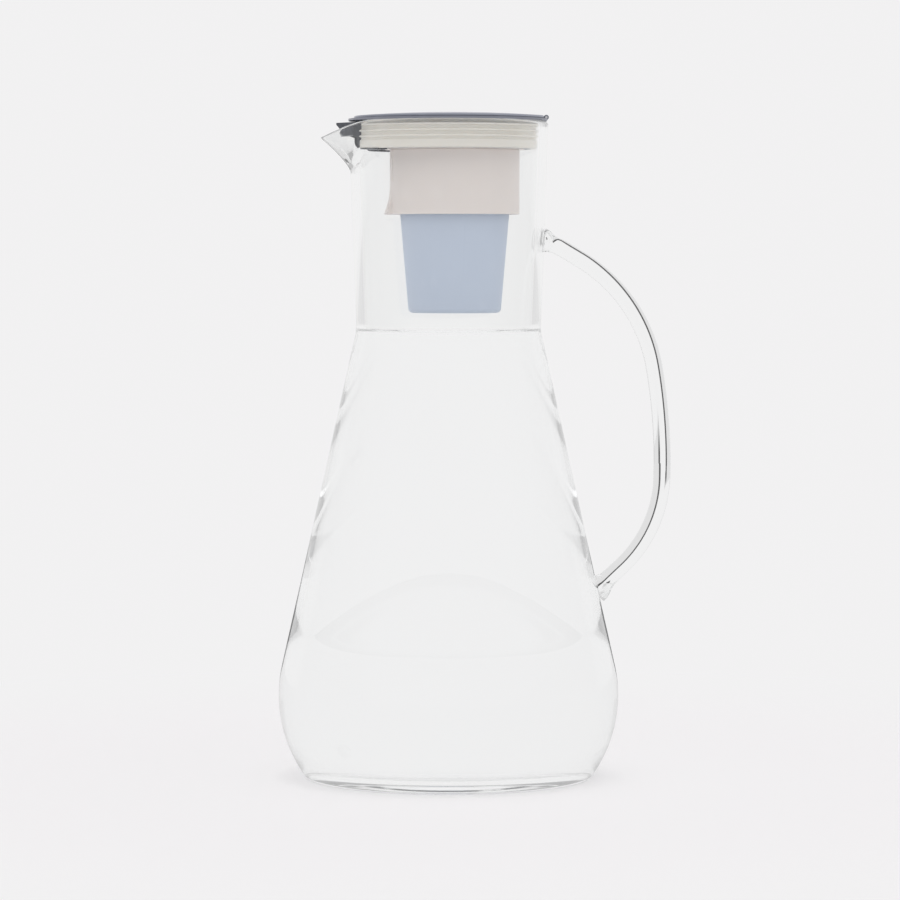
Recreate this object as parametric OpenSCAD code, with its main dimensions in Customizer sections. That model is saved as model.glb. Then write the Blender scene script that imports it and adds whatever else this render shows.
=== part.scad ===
// Glass water pitcher with a ribbed stopper lid, a flip-up fill disc and a hanging filter.
// The origin is the centre of the base. +Z runs up the neck, the spout points to -X
// and the handle to +X. All sizes are millimetres.

/* [Glass vessel] */
// Height of the rim above the table
rim_z = 252.6; // [246:0.2:262]
// Outer radius of the neck at the rim
rim_r = 38.4; // [37.6:0.1:40]
// Outer radius at the foot of the neck
neck_foot_r = 35.5; // [34.8:0.1:36.4]
// Height of the foot of the neck
neck_foot_z = 172.4; // [166:0.2:176]
// Outer radius of the belly at its widest
belly_r = 65.6; // [62:0.2:70]
// Height of the widest place of the belly
belly_z = 31.5; // [28:0.5:34]
// Radius of the belly's upright curve
belly_curve_r = 53; // [46:1:60]
// Thickness of the glass wall
wall_t = 3.4; // [3:0.1:3.8]
// Thickness of the glass base
base_t = 4.6; // [3.6:0.2:7]
// Radius that softens the edges of the rim
lip_round = 1; // [0.6:0.1:1.2]
// Radius of the fillet where the neck meets the shoulder
shoulder_fillet = 16; // [8:1:24]
// Radius of the edge between the belly and the base
foot_round = 2; // [1:0.5:3]

/* [Spout] */
// Distance from the axis to the tip of the spout
spout_reach = 49.4; // [47:0.2:52]
// How far the tip lies below the rim
spout_drop = 6.2; // [5:0.2:8]
// Half angle of the spout's outside, seen from above and from the side
spout_a = 47; // [46:0.5:50]
// Half angle of the groove inside it
groove_a = 43; // [41:0.5:44]
// Radius of the nose of the spout
spout_nose_r = 2.4; // [2:0.1:2.8]
// Width of the groove at the nose of the spout
spout_groove_w = 2.4; // [1.6:0.2:3]
// Thickness of the glass at the tip of the groove
spout_lip_t = 1.2; // [0.8:0.1:1.8]

/* [Handle] */
// Diameter of the glass rod
handle_d = 6.6; // [5.4:0.2:8]
// Height at which the rod leaves the neck
handle_top_z = 208; // [202:0.2:212]
// Reach of the straight start of the rod, from the neck to its first bend
handle_stub = 14.6; // [12:0.1:17]
// Angle below level at which the rod leaves the neck
handle_slope = 31.4; // [28:0.2:34]
// Radius of the upper bend
bend_upper_r = 60; // [56:0.5:66]
// Angle of the upper bend
bend_upper_a = 49; // [47:0.2:51]
// Radius of the long side
bend_side_r = 220; // [200:1:240]
// Angle of the long side
bend_side_a = 10.9; // [9:0.1:13]
// Radius of the lower bend
bend_lower_r = 49.4; // [46:0.2:53]
// Angle of the lower bend
bend_lower_a = 45.5; // [43:0.1:47]
// Radius of the pads where the rod is fused to the wall
weld_pad_r = 4.5; // [4.1:0.1:5.2]
// How far the pads stand off the wall
weld_pad_h = 1.6; // [1:0.1:2.4]
// How much wider than the rod the lower pad starts
weld_step = 0.2; // [0.1:0.05:0.4]
// How far the upper pad's centre lies below the rod's middle line
weld_sink = 1.6; // [0:0.1:2.4]

/* [Lid collar and seal] */
// Thickness of the flange that lies on the rim
flange_t = 0.8; // [0.6:0.1:1.2]
// Depth of the skirt below the rim
skirt_depth = 10.8; // [9.8:0.2:12]
// Thickness of the skirt
skirt_t = 2.3; // [1.8:0.1:2.8]
// Width of the land on the skirt that the fill well hangs on
well_land = 1; // [0.8:0.1:1.3]
// Thickness of the seal's sleeve
seal_t = 1.9; // [1.5:0.1:2.2]
// How far the seal's ribs stand out of its sleeve
seal_rib = 0.8; // [0.5:0.1:1]
// Thickness of a rib
seal_rib_t = 0.9; // [0.7:0.1:1.1]
// Distance from one rib to the next
seal_pitch = 2.15; // [1.8:0.05:2.3]
// Depth of the first rib below the rim
seal_rib_z = 1.9; // [1.6:0.1:2.2]
// Height of the plain band at the foot of the seal
seal_band_h = 3.4; // [2.6:0.1:4]
// How far that band stands out of the sleeve
seal_band = 0.5; // [0.3:0.1:0.6]
// Number of ribs
seal_ribs = 3; // [2, 3]
// Gap between the seal and the glass
seal_clear = 0.15; // [0.05:0.05:0.3]

/* [Spout insert] */
// Width of the pour channel's insert
insert_w = 22.8; // [20:0.2:25]
// Thickness of the cheeks beside the channel
cheek_t = 1.5; // [1.1:0.1:2]
// Distance from the axis to the tip of the tongue
tongue_reach = 43.1; // [41:0.1:44]
// Depth of the tongue's top below the rim
tongue_top = 0.7; // [0.4:0.1:1.2]
// Depth of the tongue's underside below the rim
tongue_bottom = 5.6; // [4.6:0.1:6.2]
// How far the tongue's underside is set back from its tip
tongue_set = 3.6; // [3:0.1:4.4]
// Radius of the tongue's tip, seen from above
tongue_tip_r = 1.6; // [1.2:0.1:2]
// Distance from the axis to the front of the cheeks
cheek_reach = 35.4; // [34.4:0.1:36]
// Height of the curved corner of the cheeks
cheek_round = 4.2; // [3:0.2:5]
// Distance from the axis to the wall behind the channel
bulkhead_x = 28; // [27.4:0.1:28.4]
// Thickness of the lip under the ends of the seal
foot_lip_t = 0.5; // [0.4:0.1:0.8]
// Half angle of that lip
foot_lip_a = 40; // [30:1:50]

/* [Fill well] */
// Depth of the well's underside below the rim
well_depth = 11; // [10.4:0.2:13]
// Thickness of the well's wall
well_t = 1.3; // [1:0.1:1.6]
// Radius of the well's outlet
outlet_r = 7.6; // [6:0.2:8.4]
// Length of the outlet's tube below the well
outlet_h = 3; // [2.4:0.1:4]
// How far the snap bead stands out of that tube
bead = 0.3; // [0.2:0.05:0.4]
// Thickness of the ring that seals the well to the holder
well_seal_d = 0.8; // [0.6:0.1:1]

/* [Flip disc and hinge] */
// Width of the ledge that the flip disc leaves free at the spout
finger_ledge = 2.2; // [1.6:0.1:3]
// Thickness of the flip disc at its edge
disc_t = 0.9; // [0.8:0.1:1.2]
// Height of the disc's crown above its edge
disc_crown = 1.4; // [1:0.1:2]
// Gap between the disc and the flange
disc_gap = 0.1; // [0.05:0.05:0.3]
// Radius of the hinge's knuckles
knuckle_r = 0.95; // [0.85:0.05:1.05]
// Width of the knuckle on the disc
knuckle_w = 8; // [6:0.5:9]
// Width of each of the collar's ears
ear_w = 2.4; // [1.6:0.2:3]
// Radius of the hinge pin
pin_r = 0.45; // [0.35:0.05:0.5]
// Clearance round the pin in the disc's knuckle
pin_run = 0.05; // [0.03:0.01:0.08]
// Clearance round the pin in the collar's ears
pin_hold = 0.02; // [0.01:0.01:0.03]
// Depth of the plug under the disc
plug_h = 3.4; // [2.6:0.2:4]
// Thickness of the plug's wall
plug_t = 1.2; // [1:0.1:1.6]
// Height of the gasket round the plug
gasket_h = 1.8; // [1.4:0.1:2.2]
// Thickness of the gasket
gasket_t = 1.1; // [0.8:0.1:1.4]

/* [Filter holder] */
// Distance of the filter's axis from the neck's axis, towards the handle
filter_x = 2.4; // [1.6:0.1:3]
// Outer radius of the holder
holder_r = 24.9; // [24:0.1:25.6]
// Length of the holder
holder_h = 24.8; // [22:0.2:30]
// Thickness of the holder's wall
holder_t = 1.3; // [1:0.1:1.6]
// How far the pull lip flares out at the foot of the holder
pull_flare = 2.4; // [1.6:0.1:2.8]
// Height of the flared part
pull_h = 11; // [9:0.5:14]
// Half angle of the pull lip
pull_a = 18; // [14:1:24]
// Width of the grooves beside the pull lip
groove_w = 0.8; // [0.5:0.1:1.2]
// Depth of those grooves
groove_d = 0.6; // [0.3:0.1:0.8]

/* [Filter cartridge] */
// Distance from the rim down to the underside of the cartridge
cartridge_drop = 73.5; // [66:0.5:80]
// Outer radius of the cartridge at its foot
cartridge_foot_r = 17.7; // [16.5:0.1:18.6]
// Outer radius of the cartridge at the head's underside
cartridge_neck_r = 21.75; // [21:0.05:22]
// Outer radius of the cartridge's head
head_r = 22.4; // [22.1:0.1:22.8]
// Height of the head
head_h = 8.4; // [7:0.2:9]
// Thickness of the cartridge's wall
shell_t = 1.3; // [1:0.1:1.6]
// Radius of the edge at the foot of the cartridge
shell_round = 1.8; // [1:0.1:2.4]
// Thickness of the cap
cap_t = 1.6; // [1.2:0.1:2]
// Gap between the cap and the roof of the holder
cap_gap = 4.2; // [3.6:0.1:5]
// Thickness of the screens above and below the beds
screen_t = 0.8; // [0.6:0.1:1.2]
// Height of the lower bed
resin_h = 21.6; // [15:0.2:26]
// Number of slots in the cap and in the floor
slots = 8; // [6:1:10]
// Width of a slot
slot_w = 1.6; // [1:0.1:2.2]
// Distance from the axis to the start of a slot
slot_start = 3; // [2.5:0.1:4]
// Distance from the end of a slot to the edge of its piece
slot_margin = 5; // [4:0.2:7]
// Thickness of the ring that holds the cartridge in the holder
ring_d = 1.9; // [1.6:0.1:2]
// Gap between that ring and the bore
ring_clear = 0.1; // [0.05:0.05:0.2]

/* [Hidden] */
$fn = 128;
ROD_SIDES = 24;
// Turn of the rod from one of its stations to the next
STATION_A = 2.8;
// Angle of the corner between the spout's side and its nose
NOSE_CORNER = 8;
// Clearance between pieces that are pushed together
fit = 0.15;
// How far a cutting shape runs past what it cuts
over = 1;

// The upright curve of the belly, and the point where the shoulder leaves it
belly_cx = belly_r - belly_curve_r;
tangent_a = shoulder_angle(belly_curve_r, neck_foot_r);
tangent_r = belly_cx + belly_curve_r * cos(tangent_a);
tangent_z = belly_z + belly_curve_r * sin(tangent_a);
// The small arc at the foot: radius to its centre, and where it meets the belly curve
foot_cx = belly_cx + sqrt(pow(belly_curve_r - foot_round, 2) - pow(belly_z - foot_round, 2));
foot_meet_z = belly_z - (belly_z - foot_round) * belly_curve_r / (belly_curve_r - foot_round);
shoulder_k = (tangent_r - neck_foot_r) / (neck_foot_z - tangent_z);

// Levels and radii of the lid
flange_z = rim_z + flange_t;
neck_in_top = rim_r - wall_t;
// Level of the spout's tip, and where the spout starts inside the neck
spout_z = rim_z - spout_drop;
spout_root_x = 2 * neck_in_top / 3;
skirt_z = rim_z - skirt_depth;
seal_body_r = neck_in(skirt_z) - seal_clear - seal_rib;
skirt_r = seal_body_r - seal_t;
skirt_in_r = skirt_r - skirt_t;
well_seat_r = skirt_in_r + well_land;
gap_half = insert_w / 2 + fit;
well_r = skirt_in_r - fit - filter_x;
well_in_r = well_r - well_t;
well_z = rim_z - well_depth;

// The hinge and the flip disc
hinge_x = rim_r - knuckle_r;
hinge_z = rim_z + 2 * fit + knuckle_r;
disc_z = flange_z + disc_gap;
disc_r = rim_r - finger_ledge / 2;
disc_x = finger_ledge / 2;
disc_soft = disc_t / 3;
disc_flat_r = disc_r - disc_soft;
hinge_w = knuckle_w + 2 * (ear_w + fit);
gasket_r = well_in_r - 2 * fit;
plug_r = gasket_r - gasket_t;

// Levels and radii of the filter
tube_r = outlet_r + well_t;
well_seal_r = tube_r + holder_t + well_seal_d / 2;
bore_r = holder_r - holder_t;
holder_z = well_z - holder_h;
roof_z = well_z - holder_t;
cap_z = roof_z - cap_gap - cap_t;
head_z = cap_z - head_h;
shell_z = rim_z - cartridge_drop;
shell_k = (cartridge_neck_r - cartridge_foot_r) / (head_z - shell_z);
screen_z = shell_z + shell_t;
resin_z = screen_z + screen_t;
felt_z = resin_z + resin_h;
carbon_z = felt_z + screen_t;
top_screen_z = cap_z - screen_t;

// Outer and inner radius of the neck, and outer radius of the shoulder, at a height
function neck_out(z) = neck_foot_r + (rim_r - neck_foot_r) * (z - neck_foot_z) / (rim_z - neck_foot_z);
function neck_in(z) = neck_out(z) - wall_t;
function shoulder_out(z) = tangent_r - shoulder_k * (z - tangent_z);
// Angle on a belly curve of radius r where a line to the neck's foot at radius n touches it
function shoulder_angle(r, n) =
    atan2(neck_foot_z - belly_z, n - belly_cx)
    - acos(r / sqrt(pow(n - belly_cx, 2) + pow(neck_foot_z - belly_z, 2)));
// Outer and inner radius of the cartridge at a height
function shell_out(z) = cartridge_foot_r + shell_k * (z - shell_z);
function bed_r(z) = shell_out(z) - shell_t - fit;

// Half outline of a bottle: belly curve of radius r, neck radii n at its foot and m at the rim.
// An arc of radius fillet joins the neck and the shoulder.
module bottle_outline(r, n, m, floor_z, fillet) {
    a = shoulder_angle(r, n);
    meet = [belly_cx + r * cos(a), belly_z + r * sin(a)];
    edge = belly_cx + sqrt(pow(r, 2) - pow(belly_z - floor_z, 2));
    polygon([[0, floor_z], [edge, floor_z], meet, [n, neck_foot_z], [m, rim_z], [0, rim_z]]);
    intersection() {
        translate([belly_cx, belly_z]) circle(r = r);
        translate([0, floor_z]) square([belly_r, meet[1] - floor_z]);
    }
    neck_a = atan2(rim_z - neck_foot_z, m - n);
    shoulder_a = atan2(meet[1] - neck_foot_z, meet[0] - n);
    half = (neck_a - shoulder_a) / 2;
    side = fillet / tan(half);
    centre_a = (neck_a + shoulder_a) / 2;
    difference() {
        polygon([[n - fillet, neck_foot_z],
                 [n + side * cos(neck_a), neck_foot_z + side * sin(neck_a)],
                 [n + side * cos(shoulder_a), neck_foot_z + side * sin(shoulder_a)]]);
        translate([n, neck_foot_z] + fillet / sin(half) * [cos(centre_a), sin(centre_a)]) circle(r = fillet);
    }
}

// Outer form of the glass without its spout
module vessel_form() {
    rotate_extrude() difference() {
        bottle_outline(belly_curve_r, neck_foot_r, rim_r, 0, shoulder_fillet);
        rim_edge(rim_r, -1);
        difference() {
            translate([foot_cx, -over]) square([belly_r, foot_meet_z + over]);
            translate([foot_cx, foot_round]) circle(r = foot_round);
        }
    }
}

// The corner that is taken off the rim: side -1 for its outer edge, 1 for its inner edge
module rim_edge(r, side) {
    difference() {
        translate([r - (side < 0 ? lip_round : 0), rim_z - lip_round]) square([lip_round, lip_round]);
        translate([r + side * lip_round, rim_z - lip_round]) circle(r = lip_round);
    }
}

// The hollow of the vessel
module vessel_hollow() {
    rotate_extrude() {
        bottle_outline(belly_curve_r - wall_t, neck_foot_r - wall_t, neck_in_top, base_t,
                       shoulder_fillet + wall_t);
        translate([0, rim_z]) square([neck_in_top + lip_round, over]);
        rim_edge(neck_in_top, 1);
    }
}

// Half outline of a spout from its round nose at distance tip back to the root plane.
// The nose's arc starts at a faint corner.
module spout_outline(tip, r, a) {
    nose_a = a - NOSE_CORNER;
    meet_x = tip - r + r * sin(nose_a);
    length = meet_x - spout_root_x;
    polygon([[spout_root_x, 0], [meet_x, 0], [meet_x, r * cos(nose_a)],
             [spout_root_x, r * cos(nose_a) + length * tan(a)]]);
    intersection() {
        translate([tip - r, 0]) circle(r = r);
        translate([meet_x, 0]) square([r, r]);
    }
}

// Gutter with a round bottom below the level of the tip and upright sides above it
module spout_gutter(tip, r, a, h) {
    translate([0, 0, spout_z]) mirror([1, 0, 0]) {
        linear_extrude(h) {
            spout_outline(tip, r, a);
            mirror([0, 1, 0]) spout_outline(tip, r, a);
        }
        rotate([0, 90, 0]) rotate([0, 0, -90]) rotate_extrude(angle = 180)
            rotate([0, 0, 90]) mirror([0, 1, 0]) spout_outline(tip, r, a);
    }
}

// Outer form of the spout: its rim slants down from the neck to the tip
module spout_form() {
    intersection() {
        spout_gutter(spout_reach, spout_nose_r, spout_a, spout_drop);
        translate([0, spout_reach, 0]) rotate([90, 0, 0]) linear_extrude(2 * spout_reach)
            polygon([[0, 0], [0, rim_z], [-neck_in_top, rim_z], [-spout_reach, spout_z], [-spout_reach - over, 0]]);
    }
}

// The groove that the water runs along
module spout_hollow() {
    groove_r = spout_groove_w / 2;
    spout_gutter(spout_reach - spout_lip_t, groove_r, groove_a, spout_drop + over);
}

module glass_vessel() {
    color([0.93, 0.95, 0.95, 0.35]) difference() {
        union() {
            vessel_form();
            spout_form();
        }
        vessel_hollow();
        spout_hollow();
    }
}

// Where a bend ends that starts at p, heads along angle a and turns down by sweep
function bend_end(p, a, r, sweep) =
    [p[0] + r * (sin(a) - sin(a - sweep)), p[1] - r * (cos(a) - cos(a - sweep))];
// Stations [x, z, heading] along a bend, without its first point
function bend_stations(p, a, r, sweep) =
    let (steps = ceil(sweep / STATION_A))
    [for (i = [1 : steps]) let (turn = sweep * i / steps, e = bend_end(p, a, r, turn)) [e[0], e[1], a - turn]];

// A round tube through stations [x, z, heading], all in the plane of X and Z
module rod_sweep(stations, r, sides) {
    count = len(stations);
    points = [for (s = stations) for (i = [0 : sides - 1])
        let (t = i * 360 / sides)
        [s[0] - r * cos(t) * sin(s[2]), r * sin(t), s[1] + r * cos(t) * cos(s[2])]];
    walls = [for (j = [0 : count - 2]) for (i = [0 : sides - 1])
        let (k = (i + 1) % sides, a = j * sides, b = a + sides)
        for (face = [[a + i, a + k, b + k], [a + i, b + k, b + i]]) face];
    first = [for (i = [sides - 1 : -1 : 0]) i];
    last = [for (i = [0 : sides - 1]) (count - 1) * sides + i];
    polyhedron(points, concat(walls, [first, last]));
}

// A straight, round piece from [x, z] along angle a
module rod_run(p, a, length, r1, r2) {
    translate([p[0], 0, p[1]]) rotate([0, 90 - a, 0]) cylinder(r1 = r1, r2 = r2, h = length);
}

// The rod, fused to the neck above and to the shoulder below
module glass_handle() {
    rod_r = handle_d / 2;
    root = [neck_out(handle_top_z) - wall_t / 2, handle_top_z + wall_t / 2 * tan(handle_slope)];
    leave = [neck_out(handle_top_z) + handle_stub, handle_top_z - handle_stub * tan(handle_slope)];
    a1 = -handle_slope;
    a2 = a1 - bend_upper_a;
    a3 = a2 - bend_side_a;
    a4 = a3 - bend_lower_a;
    p2 = bend_end(leave, a1, bend_upper_r, bend_upper_a);
    p3 = bend_end(p2, a2, bend_side_r, bend_side_a);
    p4 = bend_end(p3, a3, bend_lower_r, bend_lower_a);
    last = max(0, (p4[0] - shoulder_out(p4[1])) / (-cos(a4) - shoulder_k * sin(a4)));
    weld = last + wall_t / 2 + rod_r;
    stations = concat(
        [[root[0], root[1], a1], [leave[0], leave[1], a1]],
        bend_stations(leave, a1, bend_upper_r, bend_upper_a),
        bend_stations(p2, a2, bend_side_r, bend_side_a),
        bend_stations(p3, a3, bend_lower_r, bend_lower_a),
        [[p4[0] + weld * cos(a4), p4[1] + weld * sin(a4), a4]]);
    color([0.9, 0.94, 0.94, 0.4]) difference() {
        union() {
            rod_sweep(stations, rod_r, ROD_SIDES);
            rod_run([root[0], handle_top_z - weld_sink], 0, wall_t / 2 + weld_pad_h, weld_pad_r, weld_pad_r);
            rod_run([p4[0] + (last - weld_pad_h) * cos(a4), p4[1] + (last - weld_pad_h) * sin(a4)],
                    a4, wall_t + rod_r, rod_r + weld_step, weld_pad_r + weld_pad_h);
        }
        vessel_form();
    }
}

// Hinge shape along Y: a bar with round ends of radius r, w wide
module hinge_bar(r, w) {
    translate([hinge_x, w / 2, hinge_z]) rotate([90, 0, 0]) cylinder(r = r, h = w);
}

// Flange on the rim, skirt inside the neck and the two ears of the hinge
module lid_collar() {
    color([0.36, 0.38, 0.45]) difference() {
        union() {
            difference() {
                union() {
                    translate([0, 0, rim_z]) cylinder(r = rim_r, h = flange_t);
                    translate([0, 0, skirt_z]) cylinder(r = skirt_r, h = skirt_depth);
                }
                translate([0, 0, rim_z]) cylinder(r = well_seat_r, h = flange_t + over);
                translate([0, 0, skirt_z - over]) cylinder(r = skirt_in_r, h = skirt_depth + 2 * over);
                translate([-rim_r, -gap_half, skirt_z - over])
                    cube([rim_r, 2 * gap_half, skirt_depth + over]);
                translate([hinge_x - knuckle_r - fit, -hinge_w / 2, rim_z - over])
                    cube([rim_r, hinge_w, flange_t + 2 * over]);
            }
            for (side = [-1, 1])
                translate([0, side * (knuckle_w / 2 + fit + ear_w / 2), 0]) collar_ear();
        }
        hinge_bar(pin_r + pin_hold, hinge_w + 2 * over);
    }
}

// One ear: a barrel on the hinge's axis with a foot that joins the flange
module collar_ear() {
    intersection() {
        union() {
            hinge_bar(knuckle_r, ear_w);
            translate([hinge_x - knuckle_r - 2 * fit, -ear_w / 2, rim_z]) cube([knuckle_r + 2 * fit, ear_w, flange_t]);
        }
        translate([0, -ear_w, rim_z]) cube([rim_r + over, 2 * ear_w, knuckle_r + flange_t + over]);
    }
}

// Cheeks, roof and tongue of the pour channel, with the lip under the seal's ends
module spout_insert() {
    half = insert_w / 2;
    color([0.27, 0.29, 0.34]) {
        for (y = [half, cheek_t - half])
            translate([0, y, 0]) rotate([90, 0, 0]) linear_extrude(cheek_t) cheek_outline();
        translate([-bulkhead_x, -half, skirt_z]) cube([cheek_t, insert_w, skirt_depth]);
        intersection() {
            translate([0, 0, rim_z - tongue_bottom]) linear_extrude(tongue_bottom) tongue_plan(half);
            translate([0, half, 0]) rotate([90, 0, 0]) linear_extrude(insert_w) tongue_side();
        }
        foot_lip();
    }
}

// Side view of a cheek, with its lower outer corner rounded to clear the glass
module cheek_outline() {
    difference() {
        translate([-cheek_reach, skirt_z]) square([cheek_reach - bulkhead_x, skirt_depth]);
        difference() {
            translate([-cheek_reach, skirt_z]) square([cheek_round, cheek_round]);
            translate([-cheek_reach + cheek_round, skirt_z + cheek_round]) circle(r = cheek_round);
        }
    }
}

// Plan of the roof and tongue: its sides run from the cheeks to touch the round tip
module tongue_plan(half) {
    tip_x = tongue_tip_r - tongue_reach;
    touch_a = atan2(half, -cheek_reach - tip_x)
              + acos(tongue_tip_r / sqrt(pow(half, 2) + pow(cheek_reach + tip_x, 2)));
    touch = [tip_x + tongue_tip_r * cos(touch_a), tongue_tip_r * sin(touch_a)];
    polygon([[-bulkhead_x, half], [-cheek_reach, half], touch,
             [touch[0], -touch[1]], [-cheek_reach, -half], [-bulkhead_x, -half]]);
    translate([tip_x, 0]) circle(r = tongue_tip_r);
}

// Side view of the roof and tongue: full height under the flange, lower outside, slanted front
module tongue_side() {
    polygon([[-bulkhead_x, rim_z], [-neck_in_top, rim_z], [-neck_in_top, rim_z - tongue_top],
             [-tongue_reach, rim_z - tongue_top], [-tongue_reach, rim_z - 2 * tongue_top],
             [-tongue_reach + tongue_set, rim_z - tongue_bottom], [-bulkhead_x, rim_z - tongue_bottom]]);
}

// Curved lip that carries the ends of the seal
module foot_lip() {
    translate([0, 0, skirt_z - foot_lip_t]) difference() {
        rotate([0, 0, 180 - foot_lip_a]) rotate_extrude(angle = 2 * foot_lip_a)
            translate([skirt_in_r, 0]) square([seal_body_r - skirt_in_r, foot_lip_t]);
        translate([-rim_r, -insert_w / 2 + cheek_t, -over])
            cube([rim_r, insert_w - 2 * cheek_t, foot_lip_t + 2 * over]);
    }
}

// Ribbed silicone sleeve round the skirt, open at the spout
module seal_ring() {
    lead_in = seal_band_h / 3;
    color([0.86, 0.84, 0.8]) difference() {
        rotate_extrude() {
            polygon([[skirt_r, skirt_z], [seal_body_r, skirt_z], [seal_body_r + seal_band, skirt_z + lead_in],
                     [seal_body_r + seal_band, skirt_z + seal_band_h], [seal_body_r, skirt_z + seal_band_h],
                     [seal_body_r, rim_z], [skirt_r, rim_z]]);
            for (i = [0 : seal_ribs - 1]) seal_fin(rim_z - seal_rib_z - i * seal_pitch);
        }
        translate([-rim_r, -gap_half, skirt_z - over]) cube([rim_r, 2 * gap_half, skirt_depth + 2 * over]);
    }
}

// One rib with a round edge that reaches the glass
module seal_fin(z) {
    root = skirt_r + seal_t / 2;
    tip = neck_in(z) - seal_clear - seal_rib_t / 2;
    translate([root, z - seal_rib_t / 2]) square([tip - root, seal_rib_t]);
    translate([tip, z]) circle(d = seal_rib_t);
}

// Cup under the flip disc that leads the water into the filter
module fill_well() {
    color([0.88, 0.86, 0.82]) difference() {
        union() {
            translate([0, 0, rim_z]) cylinder(r = well_seat_r - fit, h = flange_t);
            translate([filter_x, 0, well_z]) cylinder(r = well_r, h = flange_z - well_z);
            translate([filter_x, 0, well_z - outlet_h]) cylinder(r = tube_r, h = outlet_h + well_t);
            translate([filter_x, 0, roof_z - 2 * bead]) cylinder(r = tube_r + bead, h = bead);
        }
        translate([filter_x, 0, well_z + well_t]) cylinder(r = well_in_r, h = well_depth + flange_t + over);
        translate([filter_x, 0, well_z - outlet_h - over]) cylinder(r = outlet_r, h = outlet_h + well_t + 2 * over);
    }
}

// Ring between the well's floor and the roof of the holder
module well_seal() {
    color([0.8, 0.78, 0.74]) translate([filter_x, 0, well_z - well_seal_d / 2])
        rotate_extrude() translate([well_seal_r, 0]) circle(d = well_seal_d);
}

// Crowned disc with its hinge knuckle and the plug that closes the well
module flip_lid() {
    color([0.42, 0.44, 0.53]) difference() {
        union() {
            difference() {
                translate([disc_x, 0, disc_z]) rotate_extrude() disc_outline();
                translate([hinge_x - knuckle_r - fit, -disc_r, disc_z - over])
                    cube([rim_r, 2 * disc_r, disc_t + disc_crown + 2 * over]);
            }
            hinge_bar(knuckle_r, knuckle_w);
            translate([hinge_x - knuckle_r - 2 * fit, -knuckle_w / 2, disc_z])
                cube([knuckle_r + 2 * fit, knuckle_w, disc_t]);
            translate([filter_x, 0, disc_z - plug_h]) difference() {
                union() {
                    cylinder(r = plug_r, h = plug_h + disc_t / 2);
                    cylinder(r = plug_r + gasket_t / 2, h = plug_t / 2);
                }
                translate([0, 0, -over]) cylinder(r = plug_r - plug_t, h = plug_h + over);
            }
        }
        hinge_bar(pin_r + pin_run, knuckle_w + 2 * over);
    }
}

// Half section of the disc: flat below, a shallow crown above in six chords, and a soft edge
module disc_outline() {
    chords = 6;
    crown = [for (i = [chords : -1 : 0])
        [disc_flat_r * i / chords, disc_t + disc_crown * (1 - pow(i / chords, 2))]];
    polygon(concat([[0, 0], [disc_flat_r, 0]], crown));
    translate([0, disc_soft]) square([disc_r, disc_t - 2 * disc_soft]);
    for (z = [disc_soft, disc_t - disc_soft])
        translate([disc_flat_r, z]) circle(r = disc_soft);
}

// Gasket that the plug presses against the well
module flip_lid_gasket() {
    foot = disc_z - plug_h + plug_t / 2;
    color([0.84, 0.82, 0.78]) translate([filter_x, 0, foot]) rotate_extrude() {
        translate([plug_r, 0]) square([gasket_t / 2, gasket_h]);
        translate([plug_r + gasket_t / 2, gasket_h / 2]) circle(d = gasket_t);
    }
}

module hinge_pin() {
    color([0.75, 0.76, 0.78]) hinge_bar(pin_r, hinge_w);
}

// Sleeve that carries the cartridge, with a flared pull lip on the spout's side
module filter_holder() {
    color([0.87, 0.85, 0.82]) translate([filter_x, 0, 0]) difference() {
        union() {
            translate([0, 0, holder_z]) cylinder(r = holder_r, h = holder_h);
            rotate([0, 0, 180 - pull_a]) rotate_extrude(angle = 2 * pull_a) pull_outline();
        }
        translate([0, 0, holder_z - over]) cylinder(r = bore_r, h = holder_h - holder_t + over);
        translate([0, 0, roof_z - over]) cylinder(r = tube_r + fit, h = holder_t + 2 * over);
        translate([0, 0, well_z - well_seal_d]) difference() {
            cylinder(r = well_seal_r + well_seal_d / 2 + fit, h = holder_t);
            translate([0, 0, -over]) cylinder(r = well_seal_r - well_seal_d / 2 - fit, h = holder_t + 2 * over);
        }
        for (side = [-1, 1]) rotate([0, 0, 180 + side * pull_a])
            translate([holder_r - groove_d, -groove_w / 2, holder_z + pull_h + 2 * over])
                cube([holder_t, groove_w, holder_h]);
    }
}

// Section of the pull lip: it curves out towards the foot and ends in a round edge
module pull_outline() {
    curve_r = (pow(pull_h, 2) + pow(pull_flare, 2)) / (2 * pull_flare);
    edge = holder_t / 2;
    lip_r = holder_r + curve_r - sqrt(pow(curve_r, 2) - pow(pull_h - edge, 2));
    root = bore_r + fit;
    difference() {
        translate([root, holder_z + edge]) square([lip_r - root, pull_h - edge]);
        translate([holder_r + curve_r, holder_z + pull_h]) circle(r = curve_r, $fn = 2 * $fn);
    }
    translate([root, holder_z]) square([lip_r - edge - root, 2 * edge]);
    translate([lip_r - edge, holder_z + edge]) circle(r = edge);
}

// Tapered cup with its head, the groove for the ring and the slots in its floor
module cartridge_shell() {
    groove_z = head_z + head_h / 2;
    color([0.66, 0.73, 0.83]) translate([filter_x, 0, 0]) difference() {
        rotate_extrude() difference() {
            union() {
                difference() {
                    polygon([[0, shell_z], [cartridge_foot_r, shell_z], [cartridge_neck_r, head_z], [0, head_z]]);
                    translate([cartridge_foot_r - shell_round, shell_z]) square([shell_round + over, shell_round]);
                }
                translate([cartridge_foot_r - shell_round + shell_k * shell_round, shell_z + shell_round])
                    circle(r = shell_round);
                translate([0, head_z]) square([head_r, head_h]);
            }
            polygon([[0, screen_z], [shell_out(screen_z) - shell_t, screen_z],
                     [shell_out(cap_z + over) - shell_t, cap_z + over], [0, cap_z + over]]);
            translate([head_r - ring_d / 2, groove_z - ring_d / 2 - fit]) square([ring_d, ring_d + 2 * fit]);
        }
        slot_star(shell_z - over, cartridge_foot_r - slot_margin, shell_t + 2 * over);
    }
}

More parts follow.
